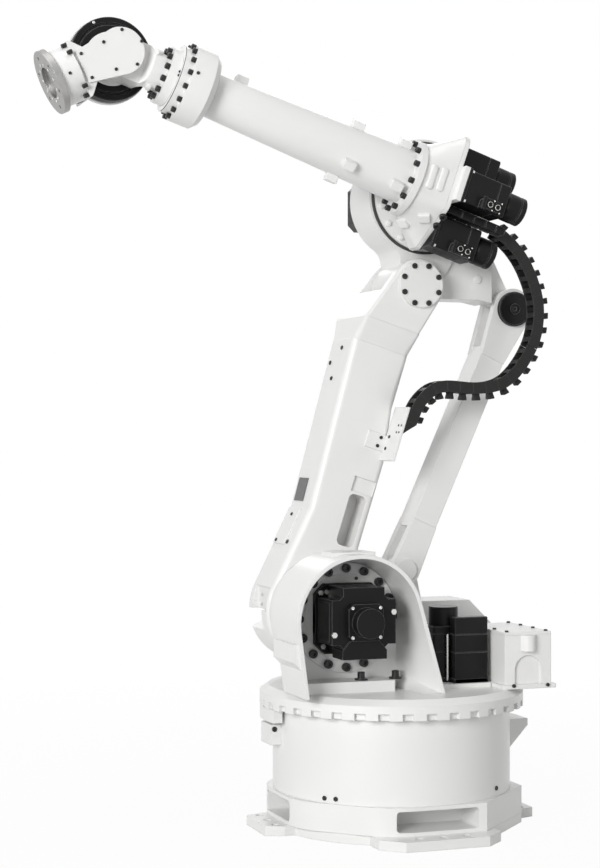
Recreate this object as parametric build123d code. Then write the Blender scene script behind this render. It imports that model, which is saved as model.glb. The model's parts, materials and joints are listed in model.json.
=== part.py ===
from build123d import *
import math
import os

# A floor-mounted six-axis robot arm with a rear parallel link.
# X points forward, Y to the arm's left, Z up. The origin is on the swivel axis at floor level.
# Lengths are millimetres and angles are degrees.

# Clearances shared by all pieces
RUN = 0.4
OVERRUN = 30.0

# Skeleton: joint centres at rest
SHOULDER_X = 205.0
SHOULDER_Z = 687.0
ARM_Y = -235.0
ARM_LENGTH = 1145.0
ARM_LEAN = 17.7
ELBOW_TO_RING_X = -38.0
ELBOW_TO_RING_Z = 300.0
ELBOW_TO_LINK_X = -386.0
ELBOW_TO_LINK_Z = -69.0
LINK_FOOT_X = -126.0
LINK_FOOT_Z = 811.0
FOREARM_LENGTH = 1176.0
FOREARM_PITCH = 19.2
TOOL_DIP = 25.4

# Base casting
SKIRT_LIP = 1.0
DRUM_SETBACK = 43.0
FRAME_APOTHEM = 396.0
FRAME_SIDES = 8
FRAME_ROUND = 220.0
FOOT_COUNT = 4
FOOT_THICKNESS = 31.0
FOOT_TIP = 470.0
FRONT_FOOT_HALF_WIDTH = 115.0
FRONT_FOOT_TIP = 94.0
SIDE_FOOT_HALF_WIDTH = 205.0
SIDE_FOOT_TIP = 140.0
FOOT_CHAMFER = 60.0
FOOT_HOLE_RADIUS = 13.0
FOOT_HOLE_REACH = 430.0
FOOT_HOLE_SPREAD = 80.0
FRAME_TOP = 120.0
FRONT_POCKET_HALF_WIDTH = 110.0
SIDE_POCKET_HALF_WIDTH = 137.0
POCKET_BOTTOM = 43.0
POCKET_TOP = 108.0
POCKET_DEPTH = 130.0
POCKET_CORNER = 12.0
RING_BOTTOM = 391.0
BRACKET_REACH = 72.0
BRACKET_HALF_WIDTH = 75.0
BRACKET_TOP = 325.0
BRACKET_HEIGHT = 100.0
BRACKET_LIP = 22.0
STOP_REACH = 36.0
STOP_WIDTH = 95.0
STOP_OFFSET_Y = -27.0
STOP_BOTTOM = 274.0
STOP_HEIGHT = 66.0

# Swivel ring and its stop
RING_RADIUS = 433.0
RING_WALL = 45.0
RING_BEVEL_RADIUS = 405.0
RING_BEVEL_HEIGHT = 19.0
NOTCH_COUNT = 36
NOTCH_WIDTH = 34.0
NOTCH_HEIGHT = 21.0
NOTCH_DEPTH = 14.0
PENDANT_DROP = 42.0
PENDANT_INSET = 31.0
PENDANT_WIDTH = 170.0

# Column with its arched motor bay
ARCH_RADIUS = 212.0
ARCH_FORWARD = 16.0
ARCH_RIM_Y = 300.0
ARCH_FRONT_X = 404.0
ARCH_REAR_X = -64.0
ARCH_RIM = 13.0
BAY_BACK_Y = 110.0
BAY_BACK_RADIUS = 178.0
BAY_WALL = 22.0
BARREL_FAR_Y = 45.0
BARREL_NECK_RADIUS = 176.0
COLUMN_FAR_Y = -125.0
TRUNK_FRONT_X = 366.0
TRUNK_REAR_X = 20.0
TRUNK_CORNER = 100.0
LEDGE_DEPTH = 92.0
LEDGE_HEIGHT = 36.0
LEDGE_REAR_X = -24.0
LEDGE_FRONT_X = 385.0
NOSE_REACH = 36.0
NOSE_NEAR_Y = 288.0
NOSE_FAR_Y = 92.0
NOSE_TOP = 625.0
NOSE_HEIGHT = 56.0
PAD_HALF_LENGTH = 72.0
PAD_RISE = 4.0
PAD_THICKNESS = 50.0
PAD_NEAR_Y = 235.0
PAD_FAR_Y = 130.0

# Shoulder gear flange and motor
GEAR_FLANGE_RADIUS = 176.0
GEAR_FLANGE_THICKNESS = 8.0
MOTOR_FLANGE_APOTHEM = 112.0
MOTOR_FLANGE_THICKNESS = 24.0
MOTOR_HALF_WIDTH = 107.0
MOTOR_HALF_HEIGHT = 108.0
MOTOR_NOTCH = 38.0
MOTOR_NOTCH_CHAMFER = 12.0
MOTOR_NOSE_Y = 281.0
ENCODER_HALF_WIDTH = 58.0
ENCODER_CHAMFER = 16.0
ENCODER_PLATE = 20.0
ENCODER_CAP_RADIUS = 47.0
ENCODER_CAP_LENGTH = 40.0
PLUG_HALF_TOP = 48.0
PLUG_HALF_BOTTOM = 74.0
PLUG_HEIGHT = 58.0
PLUG_SKIRT = 28.0
PLUG_DEPTH = 92.0
PLUG_PROUD = 8.0

# Swivel motor behind the column
SWIVEL_MOTOR_X = -150.0
SWIVEL_MOTOR_Y = 86.0
SWIVEL_MOTOR_HALF = 64.0
SWIVEL_MOTOR_TOP = 650.0
SWIVEL_MOTOR_PLATE = 14.0
SWIVEL_PLATE_MARGIN = 14.0
SWIVEL_PLATE_LIP = 5.0
TERMINAL_DEPTH = 42.0
TERMINAL_SETBACK = 53.0
TERMINAL_HALF = 58.0
TERMINAL_TOP = 682.0
SWIVEL_ENCODER_RADIUS = 48.0
SWIVEL_ENCODER_TOP = 710.0

# Connection box at the rear
BOX_FRONT_X = -281.0
BOX_REAR_X = -446.0
BOX_NEAR_Y = 278.0
BOX_FAR_Y = -25.0
BOX_TOP = 637.0
BOX_LID = 10.0
BOX_PLATE = 14.0
BOX_PLATE_MARGIN = 12.0
BOX_RECESS_RADIUS = 46.0
BOX_RECESS_DEPTH = 8.0
BOX_BOSS_RADIUS = 24.0
BOX_BOSS_DROP = 52.0

# Pedestal and post that hold the foot of the rear link
PEDESTAL_FRONT_X = -72.0
PEDESTAL_REAR_X = -430.0
PEDESTAL_NEAR_Y = -126.0
PEDESTAL_FAR_Y = -290.0
PEDESTAL_TOP = 708.0
PEDESTAL_SLOPE = 90.0
POST_HALF_THICKNESS = 28.0
POST_EYE_RADIUS = 46.0
POST_FOOT_HALF = 70.0

# Lower arm
ARM_HALF_WIDTH = 108.0
ARM_HUB_RADIUS = 182.0
ARM_FRONT = 160.0
ARM_FRONT_LOW = 134.0
ARM_REAR_LOW = 76.0
ARM_REAR_HIGH = 49.0
ARM_HUB_REAR = 140.0
ARM_FLARE_END = 320.0
ARM_HEEL = 90.0
ARM_REAR_START = 237.0
ARM_WAIST_START = 539.0
ARM_WAIST_END = 719.0
ARM_EDGE = 22.0
FORK_HALF_WIDTH = 145.0
FORK_GAP_HALF = 100.0
FORK_START_DROP = 240.0
FORK_FULL_DROP = 160.0
FORK_FRONT = 152.0
EAR_RADIUS = 90.0
EAR_EDGE = 10.0
FLARE_STEP = 1.5
FORK_FLOOR = 95.0
FORK_FLOOR_REAR = 145.0
FORK_FLOOR_REACH = 120.0
FORK_LIP = 52.0
FORK_LIP_START = 45.0
FORK_LIP_END = 95.0
HUB_SLOT_INNER = 120.0
HUB_SLOT_RISE = 2.0
HUB_SLOT_INNER_DROP = 40.0
HUB_SLOT_OUTER_DROP = 89.0
HUB_SLOT_NEAR = 45.0
HUB_POCKET_FLOOR = 158.0
HUB_POCKET_RISE = 78.0
HUB_POCKET_FAR = -55.0
HUB_POCKET_NEAR = 88.0
WINDOW_HALF_WIDTH = 31.0
WINDOW_OFFSET = -18.0
WINDOW_LOW = 230.0
WINDOW_HIGH = 407.0
WINDOW_CORNER = 18.0
WINDOW_DEPTH = 85.0
SCOOP_HALF_WIDTH = 40.0
SCOOP_OFFSET = -26.0
SCOOP_LOW = 415.0
SCOOP_HIGH = 466.0
SCOOP_DEPTH = 9.0
COVER_RADIUS = 78.0
COVER_THICKNESS = 12.0
FRONT_COVER_CENTRE = 244.0
FRONT_COVER_LENGTH = 134.0
FRONT_COVER_WIDTH = 112.0
FRONT_COVER_THICKNESS = 5.0
FRONT_COVER_OFFSET = -28.0
PLATE_CENTRE = 377.0
PLATE_LENGTH = 80.0
PLATE_WIDTH = 88.0
PLATE_OFFSET = -25.0
PLATE_THICKNESS = 3.0

# Cable chain and its two anchors
CHAIN_SPAN = 1145.0
CHAIN_Y = -40.0
CHAIN_WIDTH = 62.0
CHAIN_DEPTH = 36.0
CHAIN_BEND = 60.0
CHAIN_STUB_PITCH = 42.0
CHAIN_STUB_HEIGHT = 22.0
CHAIN_STUB_LENGTH = 16.0
CHAIN_STUB_WIDTH = 30.0
CHAIN_LOWER_SHARES = [
    (0.070, -0.445), (0.045, -0.368), (0.003, -0.317), (-0.044, -0.296), (-0.141, -0.307),
    (-0.228, -0.297), (-0.277, -0.261), (-0.316, -0.210), (-0.331, -0.180),
]
CHAIN_UPPER_SHARES = [
    (-0.3312, -0.1796), (-0.346, -0.150), (-0.355, -0.075), (-0.346, -0.016), (-0.320, 0.049),
    (-0.286, 0.101), (-0.240, 0.143), (-0.215, 0.158),
]
ANCHOR_THICKNESS = 8.0
ANCHOR_TOP_DROP = 417.0
ANCHOR_LENGTH = 187.0
ANCHOR_PLATE_INSET = 101.0
ANCHOR_PLATE_LENGTH = 56.0
ANCHOR_PLATE_WIDTH = 76.0
ANCHOR_FRONT = -60.2
FOREARM_ANCHOR_DROP = 40.0
FOREARM_ANCHOR_HEIGHT = 30.0
FOREARM_ANCHOR_REACH = 250.0

# Elbow casting
NECK_HALF_WIDTH = 95.0
NECK_RADIUS = 82.0
NECK_BOSS_RADIUS = 76.0
NECK_WAIST = 48.0
NECK_WAIST_RISE = 60.0
NECK_FILLET = 60.0
HOUSING_RADIUS = 200.0
HOUSING_FACE_Y = -150.0
TAIL_HALF_WIDTH = 72.0
TAIL_TOP_X = -318.0
TAIL_TOP_Z = 116.0
TAIL_ROOT_X = -150.0
TAIL_ROOT_Z = 215.0
TAIL_UNDER_X = -248.0
TAIL_UNDER_Z = -40.0
TAIL_HEEL_X = -50.0
TAIL_HEEL_Z = -40.0
TAIL_TONGUE_START = -300.0
TONGUE_HALF = 28.0
TONGUE_RADIUS = 48.0
SEAL_WIDTH = 8.0
SEAL_HEIGHT = 9.0
DRIVE_FLANGE_RADIUS = 140.0
DRIVE_FLANGE_THICKNESS = 22.0
DRIVE_FORWARD = 38.0
DRIVE_HALF_WIDTH = 98.0
DRIVE_HALF_HEIGHT = 84.0
DRIVE_LENGTH = 168.0
DRIVE_CHAMFER = 24.0
DRIVE_CAP_RADIUS = 48.0
DRIVE_CAP_LENGTH = 42.0

# Rear link
LINK_BAR_HALF = 45.0
LINK_BAR_HALF_WIDTH = 55.0
LINK_GAP_HALF = 32.0
LINK_CHEEK_Y = 60.0
LINK_FOOT_EYE = 52.0
LINK_TOP_EYE = 72.0
LINK_FOOT_FORK = 175.0
LINK_TOP_FORK = 190.0
LINK_DISC_RADIUS = 60.0
LINK_DISC_THICKNESS = 15.0
LINK_BOSS_RADIUS = 38.0
LINK_BOSS_THICKNESS = 7.0

# Forearm
TURNTABLE_RADIUS = 183.0
TURNTABLE_RIM = 18.0
TURNTABLE_HUB_RADIUS = 118.0
TURNTABLE_NEAR_Y = -105.0
GEARCASE_FRONT = 121.0
GEARCASE_REAR = 10.0
GEARCASE_RADIUS = 120.0
GEARCASE_RISE = 187.0
GEARCASE_DROP = 195.0
GEARCASE_NEAR_Y = 108.0
GEARCASE_FAR_Y = -103.0
GEARCASE_CORNER = 40.0
GEARCASE_HEEL = 150.0
GEARCASE_HEEL_RISE = 128.0
GEARCASE_WEB_RADIUS = 140.0
FLANGE_RADIUS = 128.0
FLANGE_THICKNESS = 24.0
TUBE_REAR_RADIUS = 92.0
TUBE_FRONT_RADIUS = 72.0
TUBE_SETBACK = 326.0
WRIST_RING_RADIUS = 127.0
WRIST_RING_CONE = 12.0
WRIST_RING_EDGE = 18.0
WRIST_RING_LENGTH = 72.0
WRIST_STEP_LENGTH = 33.0
WRIST_STEP_RADIUS = 110.0
MOTOR_PLATE_THICKNESS = 14.0
WRIST_MOTOR_HALF = 59.0
WRIST_MOTOR_CHAMFER = 7.0
WRIST_MOTOR_LENGTH = 162.0
WRIST_ENCODER_RADIUS = 48.0
WRIST_ENCODER_LENGTH = 78.0
TOP_MOTOR_RISE = 123.0
MIDDLE_MOTOR_RISE = 22.0
LOW_MOTOR_RISE = -131.0
TOP_MOTOR_Y = -43.6
LOW_MOTOR_Y = -13.0
MIDDLE_MOTOR_Y = 76.0
MIDDLE_MOTOR_SETBACK = 18.0
LUG_LENGTH = 40.0
LUG_WIDTH = 30.0
LUG_HEIGHT = 24.0
LUG_SINK = 12.0
LUG_PLACE_SHARES = [
    (0.880, 100.0), (0.305, 70.0), (0.058, 70.0), (0.305, -35.0), (0.058, -35.0), (0.332, -95.0),
]

# Wrist
ROLL_FLANGE_THICKNESS = 32.6
ROLL_FLANGE_RADIUS = 94.0
ROLL_NECK_RADIUS = 60.0
ROLL_NECK_SETBACK = 110.0
ROLL_BLADE_SETBACK = 92.0
WRIST_HUB_RADIUS = 64.0
WRIST_NEAR_Y = 28.0
WRIST_FAR_Y = -66.0
WRIST_ARM_THICKNESS = 36.0
WRIST_COVER_THICKNESS = 8.0
WRIST_COVER_RADIUS = 74.0
WRIST_TONGUE_HALF = 52.0
WRIST_TONGUE_LENGTH = 138.0
WRIST_DISC_RADIUS = 133.0
WRIST_DISC_CORE = 86.0
WRIST_DISC_THICKNESS = 40.0
WRIST_BACK_RADIUS = 137.0
WRIST_BACK_THICKNESS = 24.0
WRIST_BLOCK_START = 105.0
WRIST_BLOCK_END = 150.0
WRIST_BLOCK_HALF = 92.0
WRIST_BLOCK_INNER_HALF = 52.0
WRIST_HOUSING_RADIUS = 90.0
WRIST_HOUSING_END = 216.0
TOOL_FLANGE_RADIUS = 103.0
TOOL_FLANGE_END = 236.0
TOOL_PILOT_RADIUS = 50.0
TOOL_PILOT_DEPTH = 12.0
TOOL_HOLE_COUNT = 6
TOOL_HOLE_RADIUS = 6.0
TOOL_HOLE_CIRCLE = 80.0
TOOL_HOLE_DEPTH = 16.0

# Places worked out from the driving sizes
DRUM_RADIUS = RING_RADIUS - DRUM_SETBACK
SKIRT_RADIUS = DRUM_RADIUS + SKIRT_LIP
RING_TOP = RING_BOTTOM + RING_WALL + RING_BEVEL_HEIGHT
ARCH_X = SHOULDER_X + ARCH_FORWARD
ELBOW_X = SHOULDER_X - ARM_LENGTH * math.sin(math.radians(ARM_LEAN))
ELBOW_Z = SHOULDER_Z + ARM_LENGTH * math.cos(math.radians(ARM_LEAN))
TURN_X = ELBOW_X + ELBOW_TO_RING_X
TURN_Z = ELBOW_Z + ELBOW_TO_RING_Z
LINK_TOP_X = ELBOW_X + ELBOW_TO_LINK_X
LINK_TOP_Z = ELBOW_Z + ELBOW_TO_LINK_Z
LINK_LENGTH = math.hypot(LINK_TOP_X - LINK_FOOT_X, LINK_TOP_Z - LINK_FOOT_Z)
LINK_LEAN = math.degrees(math.atan2(LINK_FOOT_X - LINK_TOP_X, LINK_TOP_Z - LINK_FOOT_Z))
BEND_X = TURN_X + FOREARM_LENGTH * math.cos(math.radians(FOREARM_PITCH))
BEND_Z = TURN_Z + FOREARM_LENGTH * math.sin(math.radians(FOREARM_PITCH))
FORK_START = ARM_LENGTH - FORK_START_DROP
FORK_FULL = ARM_LENGTH - FORK_FULL_DROP
TUBE_START = GEARCASE_FRONT + FLANGE_THICKNESS
TUBE_END = FOREARM_LENGTH - TUBE_SETBACK
WRIST_RING_START = TUBE_END + WRIST_RING_CONE
WRIST_RING_FULL = WRIST_RING_START + WRIST_RING_EDGE
WRIST_RING_STEP = WRIST_RING_FULL + WRIST_RING_LENGTH
WRIST_RING_END = WRIST_RING_STEP + WRIST_STEP_LENGTH
ROLL_START = WRIST_RING_END + RUN
ROLL_FLANGE_END = ROLL_START + ROLL_FLANGE_THICKNESS
ROLL_NECK_END = FOREARM_LENGTH - ROLL_NECK_SETBACK
ROLL_BLADE_START = FOREARM_LENGTH - ROLL_BLADE_SETBACK

# Local frames: Z runs along the piece, Y stays across the arm
ARM_FRAME = Pos(SHOULDER_X, ARM_Y, SHOULDER_Z) * Rot(0, -ARM_LEAN, 0)
ELBOW_FRAME = Pos(ELBOW_X, ARM_Y, ELBOW_Z)
LINK_FRAME = Pos(LINK_FOOT_X, ARM_Y, LINK_FOOT_Z) * Rot(0, -LINK_LEAN, 0)
FOREARM_FRAME = Pos(TURN_X, 0, TURN_Z) * Rot(0, 90 - FOREARM_PITCH, 0)
TOOL_FRAME = Pos(BEND_X, 0, BEND_Z) * Rot(0, 90 + TOOL_DIP, 0)


def outline(*points):
    """Flat face inside a closed run of straight edges."""
    return make_face(Polyline(*points, close=True))


def hull(*faces):
    """Smallest convex face around the given faces."""
    edges = []
    for face in faces:
        edges += face.edges()
    return make_hull(edges)


def circle_at(x, z, radius):
    """Round face in the side view, centred at x forward and z up."""
    return Pos(x, z) * Circle(radius)


def across(profile, low, high):
    """Solid with a side-view profile, from Y = low to Y = high."""
    return extrude(Plane.XZ.offset(-high) * profile, amount=high - low)


def disc(radius, low, high):
    """Upright cylinder on the local Z axis."""
    body = Cylinder(radius, high - low, align=(Align.CENTER, Align.CENTER, Align.MIN))
    return Pos(0, 0, low) * body


def side_disc(x, z, radius, low, high):
    """Cylinder lying across the arm, from Y = low to Y = high."""
    return across(circle_at(x, z, radius), low, high)


def block(x_low, x_high, y_low, y_high, z_low, z_high):
    """Box between two corners."""
    corner = (Align.MIN, Align.MIN, Align.MIN)
    return Pos(x_low, y_low, z_low) * Box(x_high - x_low, y_high - y_low, z_high - z_low, align=corner)


def turned(*points):
    """Solid of revolution about local Z from (radius, height) points."""
    return revolve(Plane.XZ * outline(*points), Axis.Z)


def frame_plan():
    """Plan of the frame: an octagon with its front corners rounded."""
    half_side = 180 / FRAME_SIDES
    plan = RegularPolygon(FRAME_APOTHEM, FRAME_SIDES, major_radius=False, rotation=half_side)
    return fillet(plan.vertices().filter_by(lambda corner: corner.X > 0), FRAME_ROUND)


def foot_plan(half_width, tip):
    """Plan of one foot that points forward."""
    shoulder = FOOT_TIP - FOOT_CHAMFER
    return outline(
        (0, -half_width), (shoulder, -half_width), (FOOT_TIP, -tip),
        (FOOT_TIP, tip), (shoulder, half_width), (0, half_width))


def base_feet():
    """Sole of the casting: a round skirt with four bolted feet, flush with the frame behind."""
    rear = outline(
        (0, -FOOT_TIP), (0, FOOT_TIP), (-FOOT_TIP, FOOT_TIP), (-FOOT_TIP, -FOOT_TIP))
    plan = Circle(SKIRT_RADIUS) + (frame_plan() & rear)
    for turn in range(FOOT_COUNT):
        foot = foot_plan(FRONT_FOOT_HALF_WIDTH, FRONT_FOOT_TIP)
        if turn % 2:
            foot = foot_plan(SIDE_FOOT_HALF_WIDTH, SIDE_FOOT_TIP)
        plan += Rot(0, 0, 360 / FOOT_COUNT * turn) * foot
    sole = extrude(plan, FOOT_THICKNESS)
    for turn in range(FOOT_COUNT):
        for place in (-FOOT_HOLE_SPREAD, 0, FOOT_HOLE_SPREAD):
            hole = disc(FOOT_HOLE_RADIUS, -OVERRUN, FOOT_THICKNESS + OVERRUN)
            sole -= Rot(0, 0, 360 / FOOT_COUNT * turn) * Pos(FOOT_HOLE_REACH, place, 0) * hole
    return sole


def base_frame():
    """Eight-sided frame on the feet, with a blind pocket above each foot."""
    frame = Pos(0, 0, FOOT_THICKNESS) * extrude(frame_plan(), FRAME_TOP - FOOT_THICKNESS)
    for turn in range(FOOT_COUNT):
        half_width = SIDE_POCKET_HALF_WIDTH if turn % 2 else FRONT_POCKET_HALF_WIDTH
        mouth = Pos(0, (POCKET_BOTTOM + POCKET_TOP) / 2) * RectangleRounded(
            half_width * 2, POCKET_TOP - POCKET_BOTTOM, POCKET_CORNER)
        cut = extrude(Plane.YZ.offset(FRAME_APOTHEM - POCKET_DEPTH) * mouth, POCKET_DEPTH + OVERRUN)
        frame -= Rot(0, 0, 360 / FOOT_COUNT * turn) * cut
    return frame


def base_drum():
    """Round wall between the frame and the swivel ring."""
    return disc(DRUM_RADIUS, FRAME_TOP, RING_BOTTOM - RUN)


def base_cable_bracket():
    """Gusset at the rear of the drum."""
    tip = -DRUM_RADIUS - BRACKET_REACH
    profile = outline(
        (0, BRACKET_TOP), (tip, BRACKET_TOP), (tip, BRACKET_TOP - BRACKET_LIP),
        (-DRUM_RADIUS, BRACKET_TOP - BRACKET_HEIGHT), (0, BRACKET_TOP - BRACKET_HEIGHT),
    )
    gusset = across(profile, -BRACKET_HALF_WIDTH, BRACKET_HALF_WIDTH)
    return gusset - disc(DRUM_RADIUS, 0, RING_BOTTOM)


def base_stop_block():
    """Fixed stop on the front of the drum."""
    low = STOP_OFFSET_Y - STOP_WIDTH / 2
    stop = block(
        0, DRUM_RADIUS + STOP_REACH, low, low + STOP_WIDTH, STOP_BOTTOM, STOP_BOTTOM + STOP_HEIGHT)
    return stop - disc(DRUM_RADIUS, 0, RING_BOTTOM)


def ring_blank():
    """Swivel ring before its notches are cut."""
    wall_top = RING_BOTTOM + RING_WALL
    return turned(
        (0, RING_BOTTOM), (RING_RADIUS, RING_BOTTOM), (RING_RADIUS, wall_top),
        (RING_BEVEL_RADIUS, RING_TOP), (0, RING_TOP),
    )


def swivel_ring():
    """Round table with a row of square notches along its lower edge."""
    ring = ring_blank()
    notch = block(
        RING_RADIUS - NOTCH_DEPTH, RING_RADIUS + OVERRUN, -NOTCH_WIDTH / 2, NOTCH_WIDTH / 2,
        RING_BOTTOM - OVERRUN, RING_BOTTOM + NOTCH_HEIGHT)
    notches = [Rot(0, 0, 360 / NOTCH_COUNT * (turn + 0.5)) * notch for turn in range(NOTCH_COUNT)]
    return ring - notches


def swivel_stop():
    """Stop hanging from the front of the ring, over the fixed one."""
    low = STOP_OFFSET_Y - PENDANT_WIDTH / 2
    foot = RING_BOTTOM - PENDANT_DROP
    pendant = block(0, RING_RADIUS, low, low + PENDANT_WIDTH, foot, RING_BOTTOM)
    inner = disc(RING_RADIUS - PENDANT_INSET, foot, RING_BOTTOM)
    return pendant & (disc(RING_RADIUS, foot, RING_BOTTOM) - inner)


def arch_side(middle, radius, front, rear):
    """Crown and foot of an arch, as the hull of a circle and a line."""
    sole = Polyline((rear, RING_TOP), (front, RING_TOP))
    return make_hull(circle_at(middle, SHOULDER_Z, radius).edges() + sole.edges())


def motor_bay():
    """Room for the shoulder motor, open to the near side and narrower at its back."""
    mouth = arch_side(ARCH_X, ARCH_RADIUS - ARCH_RIM, ARCH_FRONT_X - ARCH_RIM, ARCH_REAR_X + ARCH_RIM)
    back = arch_side(
        SHOULDER_X, BAY_BACK_RADIUS, SHOULDER_X + BAY_BACK_RADIUS, SHOULDER_X - BAY_BACK_RADIUS)
    return loft([Plane.XZ.offset(-ARCH_RIM_Y) * mouth, Plane.XZ.offset(-BAY_BACK_Y) * back])


def column_trunk():
    """Rounded trunk behind the bay."""
    depth = BAY_BACK_Y - COLUMN_FAR_Y
    plan = Pos((TRUNK_FRONT_X + TRUNK_REAR_X) / 2, (BAY_BACK_Y + COLUMN_FAR_Y) / 2) * Rectangle(
        TRUNK_FRONT_X - TRUNK_REAR_X, depth)
    plan = fillet(plan.vertices().filter_by(lambda corner: corner.Y < 0), TRUNK_CORNER)
    return Pos(0, 0, RING_TOP) * extrude(plan, SHOULDER_Z - RING_TOP)


def column():
    """Swivel casting: an arched bay open to the near side, a round barrel and a trunk behind it."""
    side = arch_side(ARCH_X, ARCH_RADIUS, ARCH_FRONT_X, ARCH_REAR_X)
    shell = across(side, BAY_BACK_Y - BAY_WALL, ARCH_RIM_Y)
    shell += side_disc(ARCH_X, SHOULDER_Z, ARCH_RADIUS, BARREL_FAR_Y, BAY_BACK_Y)
    shell += side_disc(SHOULDER_X, SHOULDER_Z, BARREL_NECK_RADIUS, COLUMN_FAR_Y, BAY_BACK_Y)
    shell += column_trunk()
    bay = motor_bay()
    shell -= bay
    shell += block(
        LEDGE_REAR_X + LEDGE_DEPTH, LEDGE_FRONT_X, BAY_BACK_Y, BAY_BACK_Y + LEDGE_DEPTH,
        RING_TOP, RING_TOP + LEDGE_HEIGHT) & bay
    nose_tip = ARCH_FRONT_X + NOSE_REACH
    nose_lip = NOSE_TOP - NOSE_HEIGHT
    nose = outline(
        (SHOULDER_X, NOSE_TOP), (nose_tip, NOSE_TOP), (nose_tip, nose_lip),
        (ARCH_FRONT_X, nose_lip - NOSE_REACH), (SHOULDER_X, nose_lip - NOSE_REACH),
    )
    shell += across(nose, NOSE_FAR_Y, NOSE_NEAR_Y) - bay - block(
        0, SHOULDER_X, NOSE_FAR_Y, NOSE_NEAR_Y, RING_TOP, NOSE_TOP)
    pad_top = SHOULDER_Z + ARCH_RADIUS + PAD_RISE
    pad = block(
        ARCH_X - PAD_HALF_LENGTH, ARCH_X + PAD_HALF_LENGTH, PAD_FAR_Y, PAD_NEAR_Y,
        pad_top - PAD_THICKNESS, pad_top)
    return shell + (pad - bay)


def shoulder_gear_flange():
    """Round flange at the back of the bay."""
    face = BAY_BACK_Y + GEAR_FLANGE_THICKNESS
    return side_disc(SHOULDER_X, SHOULDER_Z, GEAR_FLANGE_RADIUS, BAY_BACK_Y, face)


def shoulder_motor():
    """Motor on the gear flange: eight-sided flange, notched body and cable plug."""
    flange_y = BAY_BACK_Y + GEAR_FLANGE_THICKNESS
    body_y = flange_y + MOTOR_FLANGE_THICKNESS
    turn = 180 / FRAME_SIDES
    plan = RegularPolygon(MOTOR_FLANGE_APOTHEM, FRAME_SIDES, major_radius=False, rotation=turn)
    motor = across(Pos(SHOULDER_X, SHOULDER_Z) * plan, flange_y, body_y)
    face = Rectangle(MOTOR_HALF_WIDTH * 2, MOTOR_HALF_HEIGHT * 2)
    notch = chamfer(Rectangle(MOTOR_NOTCH * 2, MOTOR_NOTCH * 2).vertices(), MOTOR_NOTCH_CHAMFER)
    for side in (-1, 1):
        for rise in (-1, 1):
            face -= Pos(side * MOTOR_HALF_WIDTH, rise * MOTOR_HALF_HEIGHT) * notch
    motor += across(Pos(SHOULDER_X, SHOULDER_Z) * face, body_y, MOTOR_NOSE_Y)
    top = SHOULDER_Z - ENCODER_HALF_WIDTH
    bottom = top - PLUG_HEIGHT
    plug = outline(
        (SHOULDER_X - PLUG_HALF_TOP, top), (SHOULDER_X + PLUG_HALF_TOP, top),
        (SHOULDER_X + PLUG_HALF_BOTTOM, bottom + PLUG_SKIRT), (SHOULDER_X + PLUG_HALF_BOTTOM, bottom),
        (SHOULDER_X - PLUG_HALF_BOTTOM, bottom), (SHOULDER_X - PLUG_HALF_BOTTOM, bottom + PLUG_SKIRT),
    )
    plug_y = MOTOR_NOSE_Y + PLUG_PROUD
    return motor + across(plug, plug_y - PLUG_DEPTH, plug_y)


def shoulder_motor_encoder():
    """Square cover with a round cap on the end of the shoulder motor."""
    side = ENCODER_HALF_WIDTH * 2
    plate = chamfer(Rectangle(side, side).vertices(), ENCODER_CHAMFER)
    cap_y = MOTOR_NOSE_Y + ENCODER_PLATE
    end = cap_y + ENCODER_CAP_LENGTH
    encoder = across(Pos(SHOULDER_X, SHOULDER_Z) * plate, MOTOR_NOSE_Y, cap_y)
    encoder -= shoulder_motor()
    return encoder + side_disc(SHOULDER_X, SHOULDER_Z, ENCODER_CAP_RADIUS, cap_y, end)


def swivel_motor_plate():
    """Base plate of the swivel motor."""
    reach = SWIVEL_MOTOR_HALF + SWIVEL_PLATE_MARGIN
    return block(
        SWIVEL_MOTOR_X - TERMINAL_SETBACK - TERMINAL_HALF - SWIVEL_PLATE_LIP, SWIVEL_MOTOR_X + reach,
        SWIVEL_MOTOR_Y - reach, SWIVEL_MOTOR_Y + reach + TERMINAL_DEPTH,
        RING_TOP, RING_TOP + SWIVEL_MOTOR_PLATE)


def swivel_motor():
    """Upright motor that turns the swivel, with a terminal housing on its near side."""
    foot = RING_TOP + SWIVEL_MOTOR_PLATE
    body = block(
        SWIVEL_MOTOR_X - SWIVEL_MOTOR_HALF, SWIVEL_MOTOR_X + SWIVEL_MOTOR_HALF,
        SWIVEL_MOTOR_Y - SWIVEL_MOTOR_HALF, SWIVEL_MOTOR_Y + SWIVEL_MOTOR_HALF, foot, SWIVEL_MOTOR_TOP)
    near = SWIVEL_MOTOR_Y + SWIVEL_MOTOR_HALF
    middle = SWIVEL_MOTOR_X - TERMINAL_SETBACK
    body += block(
        middle - TERMINAL_HALF, middle + TERMINAL_HALF, near, near + TERMINAL_DEPTH,
        foot, TERMINAL_TOP)
    return body


def swivel_motor_encoder():
    """Round encoder on top of the swivel motor."""
    cap = disc(SWIVEL_ENCODER_RADIUS, SWIVEL_MOTOR_TOP, SWIVEL_ENCODER_TOP)
    return Pos(SWIVEL_MOTOR_X, SWIVEL_MOTOR_Y, 0) * cap


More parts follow.
